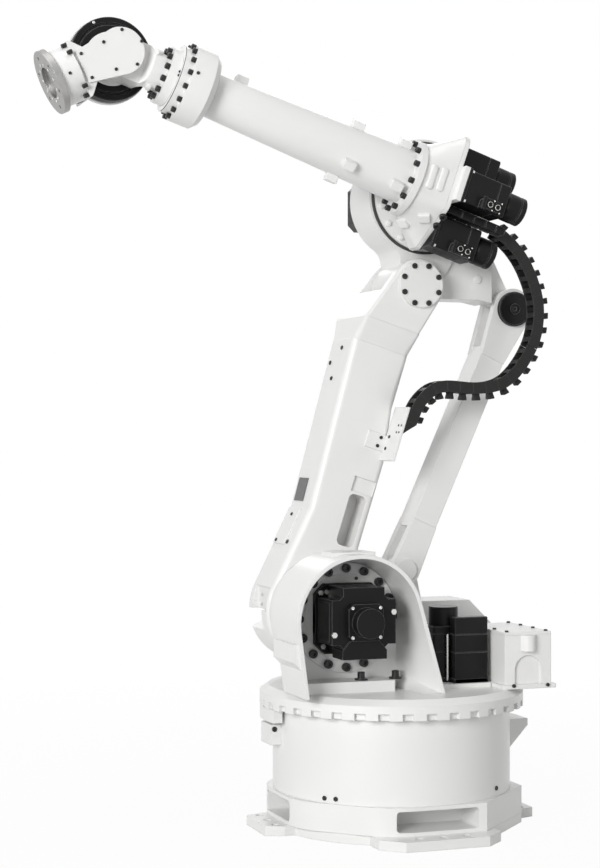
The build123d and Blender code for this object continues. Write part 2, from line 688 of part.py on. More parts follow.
def connection_box():
    """Box for the cable connectors, on a plate that overhangs the ring."""
    foot = RING_TOP + BOX_PLATE
    margin = BOX_PLATE_MARGIN
    box = block(BOX_REAR_X, BOX_FRONT_X, BOX_FAR_Y, BOX_NEAR_Y, foot, BOX_TOP - BOX_LID)
    box += block(
        BOX_REAR_X - margin, BOX_FRONT_X + margin, BOX_FAR_Y - margin, BOX_NEAR_Y + margin, RING_TOP, foot)
    middle = (BOX_FRONT_X + BOX_REAR_X) / 2
    arch = circle_at(middle, foot + BOX_RECESS_RADIUS, BOX_RECESS_RADIUS)
    arch += Pos(middle, foot + BOX_RECESS_RADIUS / 2) * Rectangle(BOX_RECESS_RADIUS * 2, BOX_RECESS_RADIUS)
    box -= across(arch, BOX_NEAR_Y - BOX_RECESS_DEPTH, BOX_NEAR_Y)
    boss_foot = BOX_TOP - BOX_LID - BOX_BOSS_DROP
    boss = Pos(middle, BOX_NEAR_Y, boss_foot) * disc(BOX_BOSS_RADIUS, 0, BOX_BOSS_DROP)
    return box + boss


def connection_box_lid():
    """Screwed lid of the connection box."""
    return block(BOX_REAR_X, BOX_FRONT_X, BOX_FAR_Y, BOX_NEAR_Y, BOX_TOP - BOX_LID, BOX_TOP)


def link_pedestal():
    """Low housing on the far side of the swivel."""
    profile = outline(
        (PEDESTAL_REAR_X, RING_TOP), (PEDESTAL_FRONT_X, RING_TOP), (PEDESTAL_FRONT_X, PEDESTAL_TOP),
        (PEDESTAL_REAR_X + PEDESTAL_SLOPE, PEDESTAL_TOP), (PEDESTAL_REAR_X, PEDESTAL_TOP - PEDESTAL_SLOPE),
    )
    return across(profile, PEDESTAL_FAR_Y, PEDESTAL_NEAR_Y)


def link_post():
    """Upright tongue with the eye for the foot of the rear link."""
    sole = outline(
        (LINK_FOOT_X - POST_FOOT_HALF, PEDESTAL_TOP), (LINK_FOOT_X + POST_FOOT_HALF - OVERRUN, PEDESTAL_TOP),
        (LINK_FOOT_X, LINK_FOOT_Z))
    profile = hull(circle_at(LINK_FOOT_X, LINK_FOOT_Z, POST_EYE_RADIUS), sole)
    post = across(profile, ARM_Y - POST_HALF_THICKNESS, ARM_Y + POST_HALF_THICKNESS)
    reach = LINK_GAP_HALF - RUN
    return post + side_disc(LINK_FOOT_X, LINK_FOOT_Z, LINK_BOSS_RADIUS, ARM_Y - reach, ARM_Y + reach)


def arm_web():
    """Side view of the lower arm below the fork."""
    heel = hull(circle_at(0, 0, ARM_HUB_RADIUS), outline(
        (ARM_FRONT_LOW, ARM_FLARE_END), (-ARM_REAR_LOW, ARM_REAR_START), (-ARM_HUB_REAR, ARM_HEEL)))
    shaft = outline(
        (0, ARM_REAR_START), (ARM_FRONT_LOW, ARM_FLARE_END), (ARM_FRONT, FORK_START),
        (-ARM_REAR_HIGH, FORK_START), (-ARM_REAR_HIGH, ARM_WAIST_END), (-ARM_REAR_LOW, ARM_WAIST_START),
        (-ARM_REAR_LOW, ARM_REAR_START),
    )
    return heel + shaft


def fork_section(height, front, half_width, corner, grow):
    """Cross-section of the arm at a height along it, grown a little all round."""
    return Plane.XY.offset(height) * Pos((front - ARM_REAR_HIGH) / 2, 0) * RectangleRounded(
        front + ARM_REAR_HIGH + grow * 2, (half_width + grow) * 2, corner)


def arm_fork():
    """Flared fork for the elbow, with a lipped floor between its ears."""
    flare = loft([
        fork_section(FORK_START, ARM_FRONT, ARM_HALF_WIDTH, ARM_EDGE, -FLARE_STEP),
        fork_section(FORK_FULL, FORK_FRONT, FORK_HALF_WIDTH, EAR_EDGE, FLARE_STEP)])
    ears = across(hull(circle_at(0, ARM_LENGTH, EAR_RADIUS), outline(
        (-ARM_REAR_HIGH, FORK_FULL), (FORK_FRONT, FORK_FULL), (0, ARM_LENGTH))),
        -FORK_HALF_WIDTH, FORK_HALF_WIDTH)
    sides = ears.faces().sort_by(Axis.Y)
    rims = (sides[0].edges() + sides[-1].edges()).filter_by(lambda edge: edge.center().Z > FORK_FULL + RUN)
    ears = fillet(rims, EAR_EDGE)
    floor = ARM_LENGTH - FORK_FLOOR
    lip = ARM_LENGTH - FORK_LIP
    reach = ARM_FRONT + OVERRUN
    top = ARM_LENGTH + EAR_RADIUS + OVERRUN
    gap = outline(
        (reach, lip), (FORK_LIP_END, lip), (FORK_LIP_START, floor), (0, floor),
        (-FORK_FLOOR_REACH, ARM_LENGTH - FORK_FLOOR_REAR), (-FORK_FLOOR_REACH, top), (reach, top))
    return flare + ears - across(gap, -FORK_GAP_HALF, FORK_GAP_HALF)


def hub_cuts():
    """Slot and shallow pocket in the front of the hub, square to the floor at rest."""
    outer = ARM_HUB_RADIUS + OVERRUN
    slot = outline(
        (HUB_SLOT_INNER, HUB_SLOT_RISE), (outer, HUB_SLOT_RISE), (outer, -HUB_SLOT_OUTER_DROP),
        (HUB_SLOT_INNER, -HUB_SLOT_INNER_DROP))
    pocket = outline(
        (HUB_POCKET_FLOOR, HUB_SLOT_RISE), (outer, HUB_SLOT_RISE), (outer, HUB_POCKET_RISE),
        (HUB_POCKET_FLOOR, HUB_POCKET_RISE))
    cuts = across(slot, -ARM_HALF_WIDTH - OVERRUN, HUB_SLOT_NEAR)
    cuts += across(pocket, HUB_POCKET_FAR, HUB_POCKET_NEAR)
    return Rot(0, ARM_LEAN, 0) * cuts


def lower_arm_casting():
    """Leaning arm: a round hub, a tapered box web and a fork for the elbow."""
    web = across(arm_web(), -ARM_HALF_WIDTH, ARM_HALF_WIDTH)
    sides = web.faces().sort_by(Axis.Y)
    rims = (sides[0].edges() + sides[-1].edges()).filter_by(lambda edge: edge.center().Z < FORK_START - RUN)
    web = fillet(rims, ARM_EDGE)
    web += side_disc(0, 0, ARM_HUB_RADIUS - ARM_EDGE, ARM_HALF_WIDTH - ARM_EDGE, COLUMN_FAR_Y - ARM_Y - RUN)
    arm = web + arm_fork()
    window = Pos(WINDOW_OFFSET, (WINDOW_LOW + WINDOW_HIGH) / 2) * RectangleRounded(
        WINDOW_HALF_WIDTH * 2, WINDOW_HIGH - WINDOW_LOW, WINDOW_CORNER)
    arm -= across(window, ARM_HALF_WIDTH - WINDOW_DEPTH, ARM_HALF_WIDTH + OVERRUN)
    scoop = Pos(SCOOP_OFFSET, (SCOOP_LOW + SCOOP_HIGH) / 2) * Rectangle(
        SCOOP_HALF_WIDTH * 2, SCOOP_HIGH - SCOOP_LOW)
    arm -= across(scoop, ARM_HALF_WIDTH - SCOOP_DEPTH, ARM_HALF_WIDTH + OVERRUN)
    return ARM_FRAME * (arm - hub_cuts())


def elbow_cover(side):
    """Round cover on one ear of the fork."""
    inner = FORK_HALF_WIDTH
    outer = FORK_HALF_WIDTH + COVER_THICKNESS
    if side > 0:
        return ARM_FRAME * side_disc(0, ARM_LENGTH, COVER_RADIUS, inner, outer)
    return ARM_FRAME * side_disc(0, ARM_LENGTH, COVER_RADIUS, -outer, -inner)


def flare_frame(height):
    """Frame on the sloping front face of the arm, Z up the face and X out of it."""
    reach = math.hypot(ARM_FRONT_LOW, ARM_FLARE_END)
    slope = math.atan2(ARM_FLARE_END, ARM_FRONT_LOW) - math.acos(ARM_HUB_RADIUS / reach)
    forward = ARM_FRONT_LOW + (ARM_FLARE_END - height) * math.tan(slope)
    return Pos(forward, 0, height) * Rot(0, -math.degrees(slope), 0)


def front_cover():
    """Screwed cover on the sloping front face of the arm."""
    half = FRONT_COVER_WIDTH / 2
    cover = block(
        0, FRONT_COVER_THICKNESS, FRONT_COVER_OFFSET - half, FRONT_COVER_OFFSET + half,
        -FRONT_COVER_LENGTH / 2, FRONT_COVER_LENGTH / 2)
    return ARM_FRAME * flare_frame(FRONT_COVER_CENTRE) * cover


def arm_plate():
    """Dark plate on the front face of the arm."""
    half = PLATE_WIDTH / 2
    slope = math.atan2(ARM_FRONT - ARM_FRONT_LOW, FORK_START - ARM_FLARE_END)
    forward = ARM_FRONT_LOW + (PLATE_CENTRE - ARM_FLARE_END) * math.tan(slope)
    plate = block(
        0, PLATE_THICKNESS, PLATE_OFFSET - half, PLATE_OFFSET + half, -PLATE_LENGTH / 2, PLATE_LENGTH / 2)
    return ARM_FRAME * Pos(forward, 0, PLATE_CENTRE) * Rot(0, math.degrees(slope), 0) * plate


def chain_anchor_arm():
    """Bent plate that holds the lower end of the cable chain beside the arm."""
    far = ARM_HALF_WIDTH
    near = CHAIN_Y + CHAIN_WIDTH / 2 - ARM_Y
    top = ARM_LENGTH - ANCHOR_TOP_DROP
    plate_top = top - ANCHOR_PLATE_INSET
    plate = block(
        ANCHOR_FRONT, ANCHOR_FRONT + ANCHOR_PLATE_WIDTH, far, far + ANCHOR_THICKNESS,
        plate_top - ANCHOR_PLATE_LENGTH, plate_top)
    plate += block(
        ANCHOR_FRONT, ANCHOR_FRONT + ANCHOR_THICKNESS, far, near, top - ANCHOR_LENGTH, top)
    return ARM_FRAME * plate


def chain_band(shares):
    """Flat-sided chain along a bent route, with a stub outside each link."""
    points = [(x * CHAIN_SPAN, z * CHAIN_SPAN) for x, z in shares]
    path = FilletPolyline(*points, radius=CHAIN_BEND)
    band = extrude(Plane.XZ * trace(path, CHAIN_DEPTH), CHAIN_WIDTH / 2, both=True)
    route = Wire(path.edges())
    count = int(route.length / CHAIN_STUB_PITCH)
    stubs = []
    for link in range(count):
        along = (link + 0.5) / count
        here = route.position_at(along)
        tangent = route.tangent_at(along)
        frame = Plane(origin=(here.X, 0, here.Y), x_dir=(tangent.X, 0, tangent.Y), z_dir=(0, 1, 0))
        tall = CHAIN_STUB_HEIGHT + CHAIN_DEPTH / 2
        stub = Box(CHAIN_STUB_LENGTH, tall, CHAIN_STUB_WIDTH)
        stubs.append(frame * Pos(0, -tall / 2, 0) * stub)
    return Pos(ELBOW_X, CHAIN_Y, ELBOW_Z) * (band + stubs)


def elbow_casting():
    """Level casting at the elbow: neck in the fork, ring housing and tail for the rear link."""
    housing = circle_at(ELBOW_TO_RING_X, ELBOW_TO_RING_Z, HOUSING_RADIUS)
    behind = outline(
        (NECK_RADIUS, -NECK_RADIUS), (NECK_WAIST, NECK_WAIST_RISE), (NECK_WAIST, ELBOW_TO_RING_Z),
        (-HOUSING_RADIUS * 2, ELBOW_TO_RING_Z), (-HOUSING_RADIUS * 2, -NECK_RADIUS))
    pin = circle_at(0, 0, NECK_RADIUS)
    neck_face = (hull(pin, housing) & behind) + housing + pin
    crook = neck_face.vertices().sort_by_distance((NECK_WAIST, NECK_WAIST_RISE * 2))[0]
    neck_face = fillet(crook, NECK_FILLET)
    casting = across(neck_face, -NECK_HALF_WIDTH, HOUSING_FACE_Y - ARM_Y)
    boss = FORK_GAP_HALF - RUN
    casting += side_disc(0, 0, NECK_BOSS_RADIUS, -boss, boss)
    tail = outline(
        (TAIL_ROOT_X, TAIL_ROOT_Z), (TAIL_TOP_X, TAIL_TOP_Z),
        (ELBOW_TO_LINK_X, ELBOW_TO_LINK_Z + TONGUE_RADIUS), (ELBOW_TO_LINK_X, ELBOW_TO_LINK_Z),
        (TAIL_UNDER_X, TAIL_UNDER_Z), (TAIL_HEEL_X, TAIL_HEEL_Z),
    )
    thick = tail & outline(
        (TAIL_TONGUE_START, -HOUSING_RADIUS), (HOUSING_RADIUS, -HOUSING_RADIUS),
        (HOUSING_RADIUS, HOUSING_RADIUS * 2), (TAIL_TONGUE_START, HOUSING_RADIUS * 2))
    casting += across(thick, -TAIL_HALF_WIDTH, TAIL_HALF_WIDTH)
    tongue = tail + circle_at(ELBOW_TO_LINK_X, ELBOW_TO_LINK_Z, TONGUE_RADIUS)
    casting += across(tongue, -TONGUE_HALF, TONGUE_HALF)
    reach = LINK_GAP_HALF - RUN
    casting += side_disc(ELBOW_TO_LINK_X, ELBOW_TO_LINK_Z, LINK_BOSS_RADIUS, -reach, reach)
    return ELBOW_FRAME * casting


def elbow_seal_ring():
    """Dark seal round the forearm's turntable."""
    inner = TURNTABLE_RADIUS + RUN
    ring = Circle(inner + SEAL_WIDTH) - Circle(inner)
    return across(Pos(TURN_X, TURN_Z) * ring, HOUSING_FACE_Y, HOUSING_FACE_Y + SEAL_HEIGHT)


def forearm_drive_motor():
    """Motor on the far side of the elbow that turns the forearm."""
    face = ARM_Y - NECK_HALF_WIDTH
    rear = face - DRIVE_FLANGE_THICKNESS
    motor = side_disc(TURN_X, TURN_Z, DRIVE_FLANGE_RADIUS, rear, face)
    body = chamfer(Rectangle(DRIVE_HALF_WIDTH * 2, DRIVE_HALF_HEIGHT * 2).vertices(), DRIVE_CHAMFER)
    centre = Pos(TURN_X + DRIVE_FORWARD, TURN_Z)
    end = rear - DRIVE_LENGTH
    motor += across(centre * body, end, rear)
    return motor + across(centre * Circle(DRIVE_CAP_RADIUS), end - DRIVE_CAP_LENGTH, end)


def rear_link_bar():
    """Parallel link behind the arm, with a clevis at each end."""
    foot_fork = LINK_FOOT_FORK
    top_fork = LINK_LENGTH - LINK_TOP_FORK
    bar = outline(
        (-LINK_BAR_HALF, foot_fork - OVERRUN), (LINK_BAR_HALF, foot_fork - OVERRUN),
        (LINK_BAR_HALF, top_fork + OVERRUN), (-LINK_BAR_HALF, top_fork + OVERRUN))
    link = across(bar, -LINK_BAR_HALF_WIDTH, LINK_BAR_HALF_WIDTH)
    foot_sole = outline((-LINK_BAR_HALF, foot_fork), (LINK_BAR_HALF, foot_fork), (0, 0))
    foot = hull(circle_at(0, 0, LINK_FOOT_EYE), foot_sole)
    head_sole = outline((-LINK_BAR_HALF, top_fork), (LINK_BAR_HALF, top_fork), (0, LINK_LENGTH))
    head = hull(circle_at(0, LINK_LENGTH, LINK_TOP_EYE), head_sole)
    for cheek in (foot, head):
        link += across(cheek, LINK_GAP_HALF, LINK_CHEEK_Y)
        link += across(cheek, -LINK_CHEEK_Y, -LINK_GAP_HALF)
    return LINK_FRAME * link


def link_foot_bosses():
    """Pin bosses outside the two lower cheeks."""
    near = side_disc(0, 0, LINK_BOSS_RADIUS, LINK_CHEEK_Y, LINK_CHEEK_Y + LINK_BOSS_THICKNESS)
    far = side_disc(0, 0, LINK_BOSS_RADIUS, -LINK_CHEEK_Y - LINK_BOSS_THICKNESS, -LINK_CHEEK_Y)
    return LINK_FRAME * Compound([near, far])


def link_pin_discs():
    """Black pin discs outside the two upper cheeks."""
    outer = LINK_CHEEK_Y + LINK_DISC_THICKNESS
    near = side_disc(0, LINK_LENGTH, LINK_DISC_RADIUS, LINK_CHEEK_Y, outer)
    far = side_disc(0, LINK_LENGTH, LINK_DISC_RADIUS, -outer, -LINK_CHEEK_Y)
    return LINK_FRAME * Compound([near, far])


def forearm_turntable():
    """Round table that turns in the elbow's ring."""
    face = HOUSING_FACE_Y + RUN
    table = side_disc(TURN_X, TURN_Z, TURNTABLE_RADIUS, face, face + TURNTABLE_RIM)
    hub_face = face + TURNTABLE_RIM
    return table + side_disc(TURN_X, TURN_Z, TURNTABLE_HUB_RADIUS, hub_face, TURNTABLE_NEAR_Y)


def gearcase_plan():
    """Rear view of the gearcase, with a slanted lower corner on the near side."""
    heel = GEARCASE_DROP - GEARCASE_HEEL_RISE
    plan = outline(
        (-GEARCASE_RISE, GEARCASE_FAR_Y), (GEARCASE_DROP, GEARCASE_FAR_Y),
        (GEARCASE_DROP, GEARCASE_NEAR_Y - GEARCASE_HEEL), (heel, GEARCASE_NEAR_Y),
        (-GEARCASE_RISE, GEARCASE_NEAR_Y))
    return fillet(plan.vertices().filter_by(lambda corner: corner.Y > GEARCASE_FAR_Y + RUN), GEARCASE_CORNER)


def forearm_gearcase():
    """Rear casting of the forearm: round in front, square behind, with a web to the turntable."""
    rear = Plane.XY.offset(GEARCASE_REAR) * gearcase_plan()
    front = Plane.XY.offset(GEARCASE_FRONT) * Circle(GEARCASE_RADIUS)
    case = loft([rear, front])
    web = side_disc(0, 0, GEARCASE_WEB_RADIUS, TURNTABLE_NEAR_Y, 0)
    web &= disc(GEARCASE_DROP * 2, GEARCASE_REAR, GEARCASE_FRONT)
    case = FOREARM_FRAME * (case + web)
    return case - forearm_turntable()


def motor_plate():
    """Plate behind the gearcase that carries the three wrist motors."""
    rear = GEARCASE_REAR - MOTOR_PLATE_THICKNESS
    plate = Pos(0, 0, rear) * extrude(gearcase_plan(), MOTOR_PLATE_THICKNESS)
    shelf = Pos(-MIDDLE_MOTOR_RISE, MIDDLE_MOTOR_Y, rear - MIDDLE_MOTOR_SETBACK) * extrude(
        Rectangle(WRIST_MOTOR_HALF * 2, WRIST_MOTOR_HALF * 2), MIDDLE_MOTOR_SETBACK)
    return FOREARM_FRAME * (plate + shelf)


def wrist_motor(rise, side, setback):
    """Square motor behind the motor plate."""
    side_length = WRIST_MOTOR_HALF * 2
    face = chamfer(Rectangle(side_length, side_length).vertices(), WRIST_MOTOR_CHAMFER)
    front = GEARCASE_REAR - MOTOR_PLATE_THICKNESS - setback
    motor = Pos(-rise, side, front - WRIST_MOTOR_LENGTH) * extrude(face, WRIST_MOTOR_LENGTH)
    return FOREARM_FRAME * motor


def wrist_encoder(rise, side, setback):
    """Round encoder on the end of a wrist motor."""
    end = GEARCASE_REAR - MOTOR_PLATE_THICKNESS - setback - WRIST_MOTOR_LENGTH
    cap = disc(WRIST_ENCODER_RADIUS, end - WRIST_ENCODER_LENGTH, end)
    return FOREARM_FRAME * Pos(-rise, side, 0) * cap


def chain_anchor_forearm():
    """Strap from the motor plate to the upper end of the cable chain."""
    rear = GEARCASE_REAR - MOTOR_PLATE_THICKNESS
    half = FOREARM_ANCHOR_HEIGHT / 2
    beside = CHAIN_Y + CHAIN_WIDTH / 2 + RUN
    return FOREARM_FRAME * block(
        FOREARM_ANCHOR_DROP - half, FOREARM_ANCHOR_DROP + half,
        beside, beside + ANCHOR_THICKNESS, rear - FOREARM_ANCHOR_REACH, rear)


def forearm_tube():
    """Tapered tube with the bolted flange at its rear end."""
    tube = turned(
        (0, GEARCASE_FRONT), (FLANGE_RADIUS, GEARCASE_FRONT), (FLANGE_RADIUS, TUBE_START),
        (TUBE_REAR_RADIUS, TUBE_START), (TUBE_FRONT_RADIUS, TUBE_END), (0, TUBE_END))
    return FOREARM_FRAME * tube


def forearm_front_ring():
    """Stepped ring that carries the wrist at the front of the tube."""
    ring = turned(
        (0, TUBE_END), (TUBE_FRONT_RADIUS, TUBE_END), (WRIST_STEP_RADIUS, WRIST_RING_START),
        (WRIST_RING_RADIUS, WRIST_RING_FULL), (WRIST_RING_RADIUS, WRIST_RING_STEP),
        (WRIST_STEP_RADIUS, WRIST_RING_STEP), (WRIST_STEP_RADIUS, WRIST_RING_END), (0, WRIST_RING_END))
    return FOREARM_FRAME * ring


def tube_radius(height):
    """Outer radius of the tube at a distance along the forearm."""
    share = (height - TUBE_START) / (TUBE_END - TUBE_START)
    return TUBE_REAR_RADIUS + (TUBE_FRONT_RADIUS - TUBE_REAR_RADIUS) * share


def clamp_lugs():
    """Cast lugs on the tube for cable clamps."""
    lugs = []
    for share, angle in LUG_PLACE_SHARES:
        height = TUBE_START + share * (TUBE_END - TUBE_START)
        radius = tube_radius(height)
        lug = block(radius - LUG_SINK, radius + LUG_HEIGHT, -LUG_WIDTH / 2, LUG_WIDTH / 2,
                    height - LUG_LENGTH / 2, height + LUG_LENGTH / 2)
        lugs.append(Rot(0, 0, 90 + angle) * lug)
    cone = turned(
        (0, TUBE_START), (TUBE_REAR_RADIUS, TUBE_START), (TUBE_FRONT_RADIUS, TUBE_END), (0, TUBE_END))
    return FOREARM_FRAME * Compound([lug - cone for lug in lugs])


def wrist_neck():
    """Rolling part of the wrist: a bolted flange, a round neck and the hub of the bend axis."""
    neck = turned(
        (0, ROLL_START), (ROLL_FLANGE_RADIUS, ROLL_START), (ROLL_FLANGE_RADIUS, ROLL_FLANGE_END),
        (ROLL_NECK_RADIUS, ROLL_FLANGE_END), (ROLL_NECK_RADIUS, ROLL_NECK_END), (0, ROLL_NECK_END))
    near = WRIST_NEAR_Y - RUN
    far = WRIST_FAR_Y + RUN
    middle = (near + far) / 2
    round_end = Plane.XY.offset(ROLL_NECK_END) * Circle(ROLL_NECK_RADIUS)
    blade_end = Plane.XY.offset(ROLL_BLADE_START) * Pos(0, middle) * Rectangle(
        WRIST_HUB_RADIUS * 2, near - far)
    neck += loft([round_end, blade_end])
    blade = hull(circle_at(0, FOREARM_LENGTH, WRIST_HUB_RADIUS), outline(
        (-WRIST_HUB_RADIUS, ROLL_BLADE_START), (WRIST_HUB_RADIUS, ROLL_BLADE_START), (0, FOREARM_LENGTH)))
    return FOREARM_FRAME * (neck + across(blade, far, near))


def wrist_fork():
    """Bending part of the wrist: a near arm, a far plate and the block between them."""
    arm_face = hull(circle_at(0, 0, WRIST_COVER_RADIUS), outline(
        (-WRIST_TONGUE_HALF, WRIST_BLOCK_START), (WRIST_TONGUE_HALF, WRIST_BLOCK_START), (0, 0)))
    near_end = WRIST_NEAR_Y + WRIST_ARM_THICKNESS
    fork = across(arm_face, WRIST_NEAR_Y, near_end)
    back_near = WRIST_FAR_Y - WRIST_DISC_THICKNESS
    back_far = back_near - WRIST_BACK_THICKNESS
    fork += side_disc(0, 0, WRIST_BACK_RADIUS, back_far, back_near)
    fork += side_disc(0, 0, WRIST_DISC_CORE, back_near, WRIST_FAR_Y)
    block_face = outline(
        (-WRIST_BLOCK_INNER_HALF, WRIST_BLOCK_START), (WRIST_BLOCK_INNER_HALF, WRIST_BLOCK_START),
        (WRIST_BLOCK_HALF, WRIST_BLOCK_END - WRIST_COVER_THICKNESS), (WRIST_BLOCK_HALF, WRIST_BLOCK_END),
        (-WRIST_BLOCK_HALF, WRIST_BLOCK_END), (-WRIST_BLOCK_HALF, WRIST_BLOCK_END - WRIST_COVER_THICKNESS))
    fork += across(block_face, back_far, near_end)
    fork -= wrist_ring_local()
    return TOOL_FRAME * fork


def wrist_ring_local():
    """Black ring round the far hub of the bend axis, in the tool frame."""
    ring = Circle(WRIST_DISC_RADIUS) - Circle(WRIST_DISC_CORE)
    return across(ring, WRIST_FAR_Y - WRIST_DISC_THICKNESS, WRIST_FAR_Y)


def wrist_ring():
    """Black ring round the far hub of the bend axis."""
    return TOOL_FRAME * wrist_ring_local()


def wrist_side_cover():
    """Keyhole cover on the near arm of the wrist."""
    face = hull(circle_at(0, 0, WRIST_COVER_RADIUS), outline(
        (-WRIST_TONGUE_HALF, WRIST_TONGUE_LENGTH), (WRIST_TONGUE_HALF, WRIST_TONGUE_LENGTH), (0, 0)))
    low = WRIST_NEAR_Y + WRIST_ARM_THICKNESS
    return TOOL_FRAME * across(face, low, low + WRIST_COVER_THICKNESS)


def wrist_flange_housing():
    """Round housing of the tool axis."""
    return TOOL_FRAME * disc(WRIST_HOUSING_RADIUS, WRIST_BLOCK_END, WRIST_HOUSING_END - RUN)


def tool_flange():
    """Steel tool flange with a pilot bore and a circle of tapped holes."""
    flange = disc(TOOL_FLANGE_RADIUS, WRIST_HOUSING_END, TOOL_FLANGE_END)
    flange -= disc(TOOL_PILOT_RADIUS, TOOL_FLANGE_END - TOOL_PILOT_DEPTH, TOOL_FLANGE_END + OVERRUN)
    hole = Pos(TOOL_HOLE_CIRCLE, 0, 0) * disc(
        TOOL_HOLE_RADIUS, TOOL_FLANGE_END - TOOL_HOLE_DEPTH, TOOL_FLANGE_END + OVERRUN)
    for turn in range(TOOL_HOLE_COUNT):
        flange -= Rot(0, 0, 360 / TOOL_HOLE_COUNT * turn) * hole
    return TOOL_FRAME * flange


def build():
    """Every piece of the arm by node name."""
    top = (TOP_MOTOR_RISE, TOP_MOTOR_Y, 0)
    middle = (MIDDLE_MOTOR_RISE, MIDDLE_MOTOR_Y, MIDDLE_MOTOR_SETBACK)
    low = (LOW_MOTOR_RISE, LOW_MOTOR_Y, 0)
    return {
        "base_feet": base_feet(),
        "base_frame": base_frame(),
        "base_drum": base_drum(),
        "base_cable_bracket": base_cable_bracket(),
        "base_stop_block": base_stop_block(),
        "swivel_ring": swivel_ring(),
        "swivel_stop": swivel_stop(),
        "column": column(),
        "shoulder_gear_flange": shoulder_gear_flange(),
        "shoulder_motor": shoulder_motor(),
        "shoulder_motor_encoder": shoulder_motor_encoder(),
        "swivel_motor_plate": swivel_motor_plate(),
        "swivel_motor": swivel_motor(),
        "swivel_motor_encoder": swivel_motor_encoder(),
        "connection_box": connection_box(),
        "connection_box_lid": connection_box_lid(),
        "link_pedestal": link_pedestal(),
        "link_post": link_post(),
        "lower_arm_casting": lower_arm_casting(),
        "elbow_cover_near": elbow_cover(1),
        "elbow_cover_far": elbow_cover(-1),
        "front_cover": front_cover(),
        "arm_plate": arm_plate(),
        "chain_anchor_arm": chain_anchor_arm(),
        "cable_chain_lower": chain_band(CHAIN_LOWER_SHARES),
        "elbow_casting": elbow_casting(),
        "elbow_seal_ring": elbow_seal_ring(),
        "forearm_drive_motor": forearm_drive_motor(),
        "rear_link_bar": rear_link_bar(),
        "link_foot_bosses": link_foot_bosses(),
        "link_pin_discs": link_pin_discs(),
        "forearm_turntable": forearm_turntable(),
        "forearm_gearcase": forearm_gearcase(),
        "motor_plate": motor_plate(),
        "wrist_motor_top": wrist_motor(*top),
        "wrist_motor_middle": wrist_motor(*middle),
        "wrist_motor_low": wrist_motor(*low),
        "wrist_encoder_top": wrist_encoder(*top),
        "wrist_encoder_middle": wrist_encoder(*middle),
        "wrist_encoder_low": wrist_encoder(*low),
        "chain_anchor_forearm": chain_anchor_forearm(),
        "cable_chain_upper": chain_band(CHAIN_UPPER_SHARES),
        "forearm_tube": forearm_tube(),
        "forearm_front_ring": forearm_front_ring(),
        "clamp_lugs": clamp_lugs(),
        "wrist_neck": wrist_neck(),
        "wrist_fork": wrist_fork(),
        "wrist_ring": wrist_ring(),
        "wrist_side_cover": wrist_side_cover(),
        "wrist_flange_housing": wrist_flange_housing(),
        "tool_flange": tool_flange(),
    }


os.makedirs("parts", exist_ok=True)
for node, solid in build().items():
    export_step(solid, f"parts/{node}.step")
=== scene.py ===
"""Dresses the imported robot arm: camera, light, finishes, fasteners, chain links and motor trim."""

import json
import logging
import math
from dataclasses import dataclass, field
from enum import Enum
from typing import Any, Iterable, Sequence

import bpy
import numpy as np
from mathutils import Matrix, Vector
from mathutils.bvhtree import BVHTree


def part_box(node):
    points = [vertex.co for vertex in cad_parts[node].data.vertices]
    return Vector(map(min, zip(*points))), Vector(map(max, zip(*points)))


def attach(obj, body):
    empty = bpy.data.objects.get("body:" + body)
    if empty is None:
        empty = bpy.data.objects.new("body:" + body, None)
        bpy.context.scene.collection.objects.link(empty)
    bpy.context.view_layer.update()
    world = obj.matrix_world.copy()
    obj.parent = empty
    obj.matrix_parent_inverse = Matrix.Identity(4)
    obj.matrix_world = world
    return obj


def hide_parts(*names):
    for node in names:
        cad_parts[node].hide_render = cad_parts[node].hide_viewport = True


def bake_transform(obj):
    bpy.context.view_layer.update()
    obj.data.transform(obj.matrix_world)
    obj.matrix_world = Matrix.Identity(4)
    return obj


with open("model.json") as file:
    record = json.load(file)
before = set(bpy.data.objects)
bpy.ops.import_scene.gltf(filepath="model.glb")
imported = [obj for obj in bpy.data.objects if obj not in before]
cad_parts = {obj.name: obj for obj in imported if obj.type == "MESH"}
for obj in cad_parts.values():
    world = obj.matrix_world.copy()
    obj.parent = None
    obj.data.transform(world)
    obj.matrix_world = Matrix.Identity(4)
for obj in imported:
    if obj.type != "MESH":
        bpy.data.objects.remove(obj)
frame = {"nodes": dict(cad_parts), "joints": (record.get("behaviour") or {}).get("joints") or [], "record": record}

LOG = logging.getLogger("robot_arm")
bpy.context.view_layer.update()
SHARP_ANGLE = math.radians(35.0)
MITRE_LIMIT = 0.3
Array = np.ndarray
Pairs = tuple[tuple[float, float], ...]
Triple = tuple[float, float, float]
Section = tuple[float, float, float, float]
Sections = tuple[Section, ...]
HeadSize = tuple[float, float]

# Directions of the part's frame, and of local rows as along, side and rise
X: Triple = (1.0, 0.0, 0.0)
Y: Triple = (0.0, 1.0, 0.0)
Z: Triple = (0.0, 0.0, 1.0)
BACK: Triple = (-1.0, 0.0, 0.0)
FAR: Triple = (0.0, -1.0, 0.0)


def joint_of(name: str) -> dict[str, Any]:
    """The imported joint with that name."""
    return next(joint for joint in frame["joints"] if joint["name"] == name)


def unit(vector: Iterable[float]) -> Array:
    """The vector at length one."""
    values = np.asarray(list(vector), float)
    return values / np.linalg.norm(values)


# Shader trees written as expressions


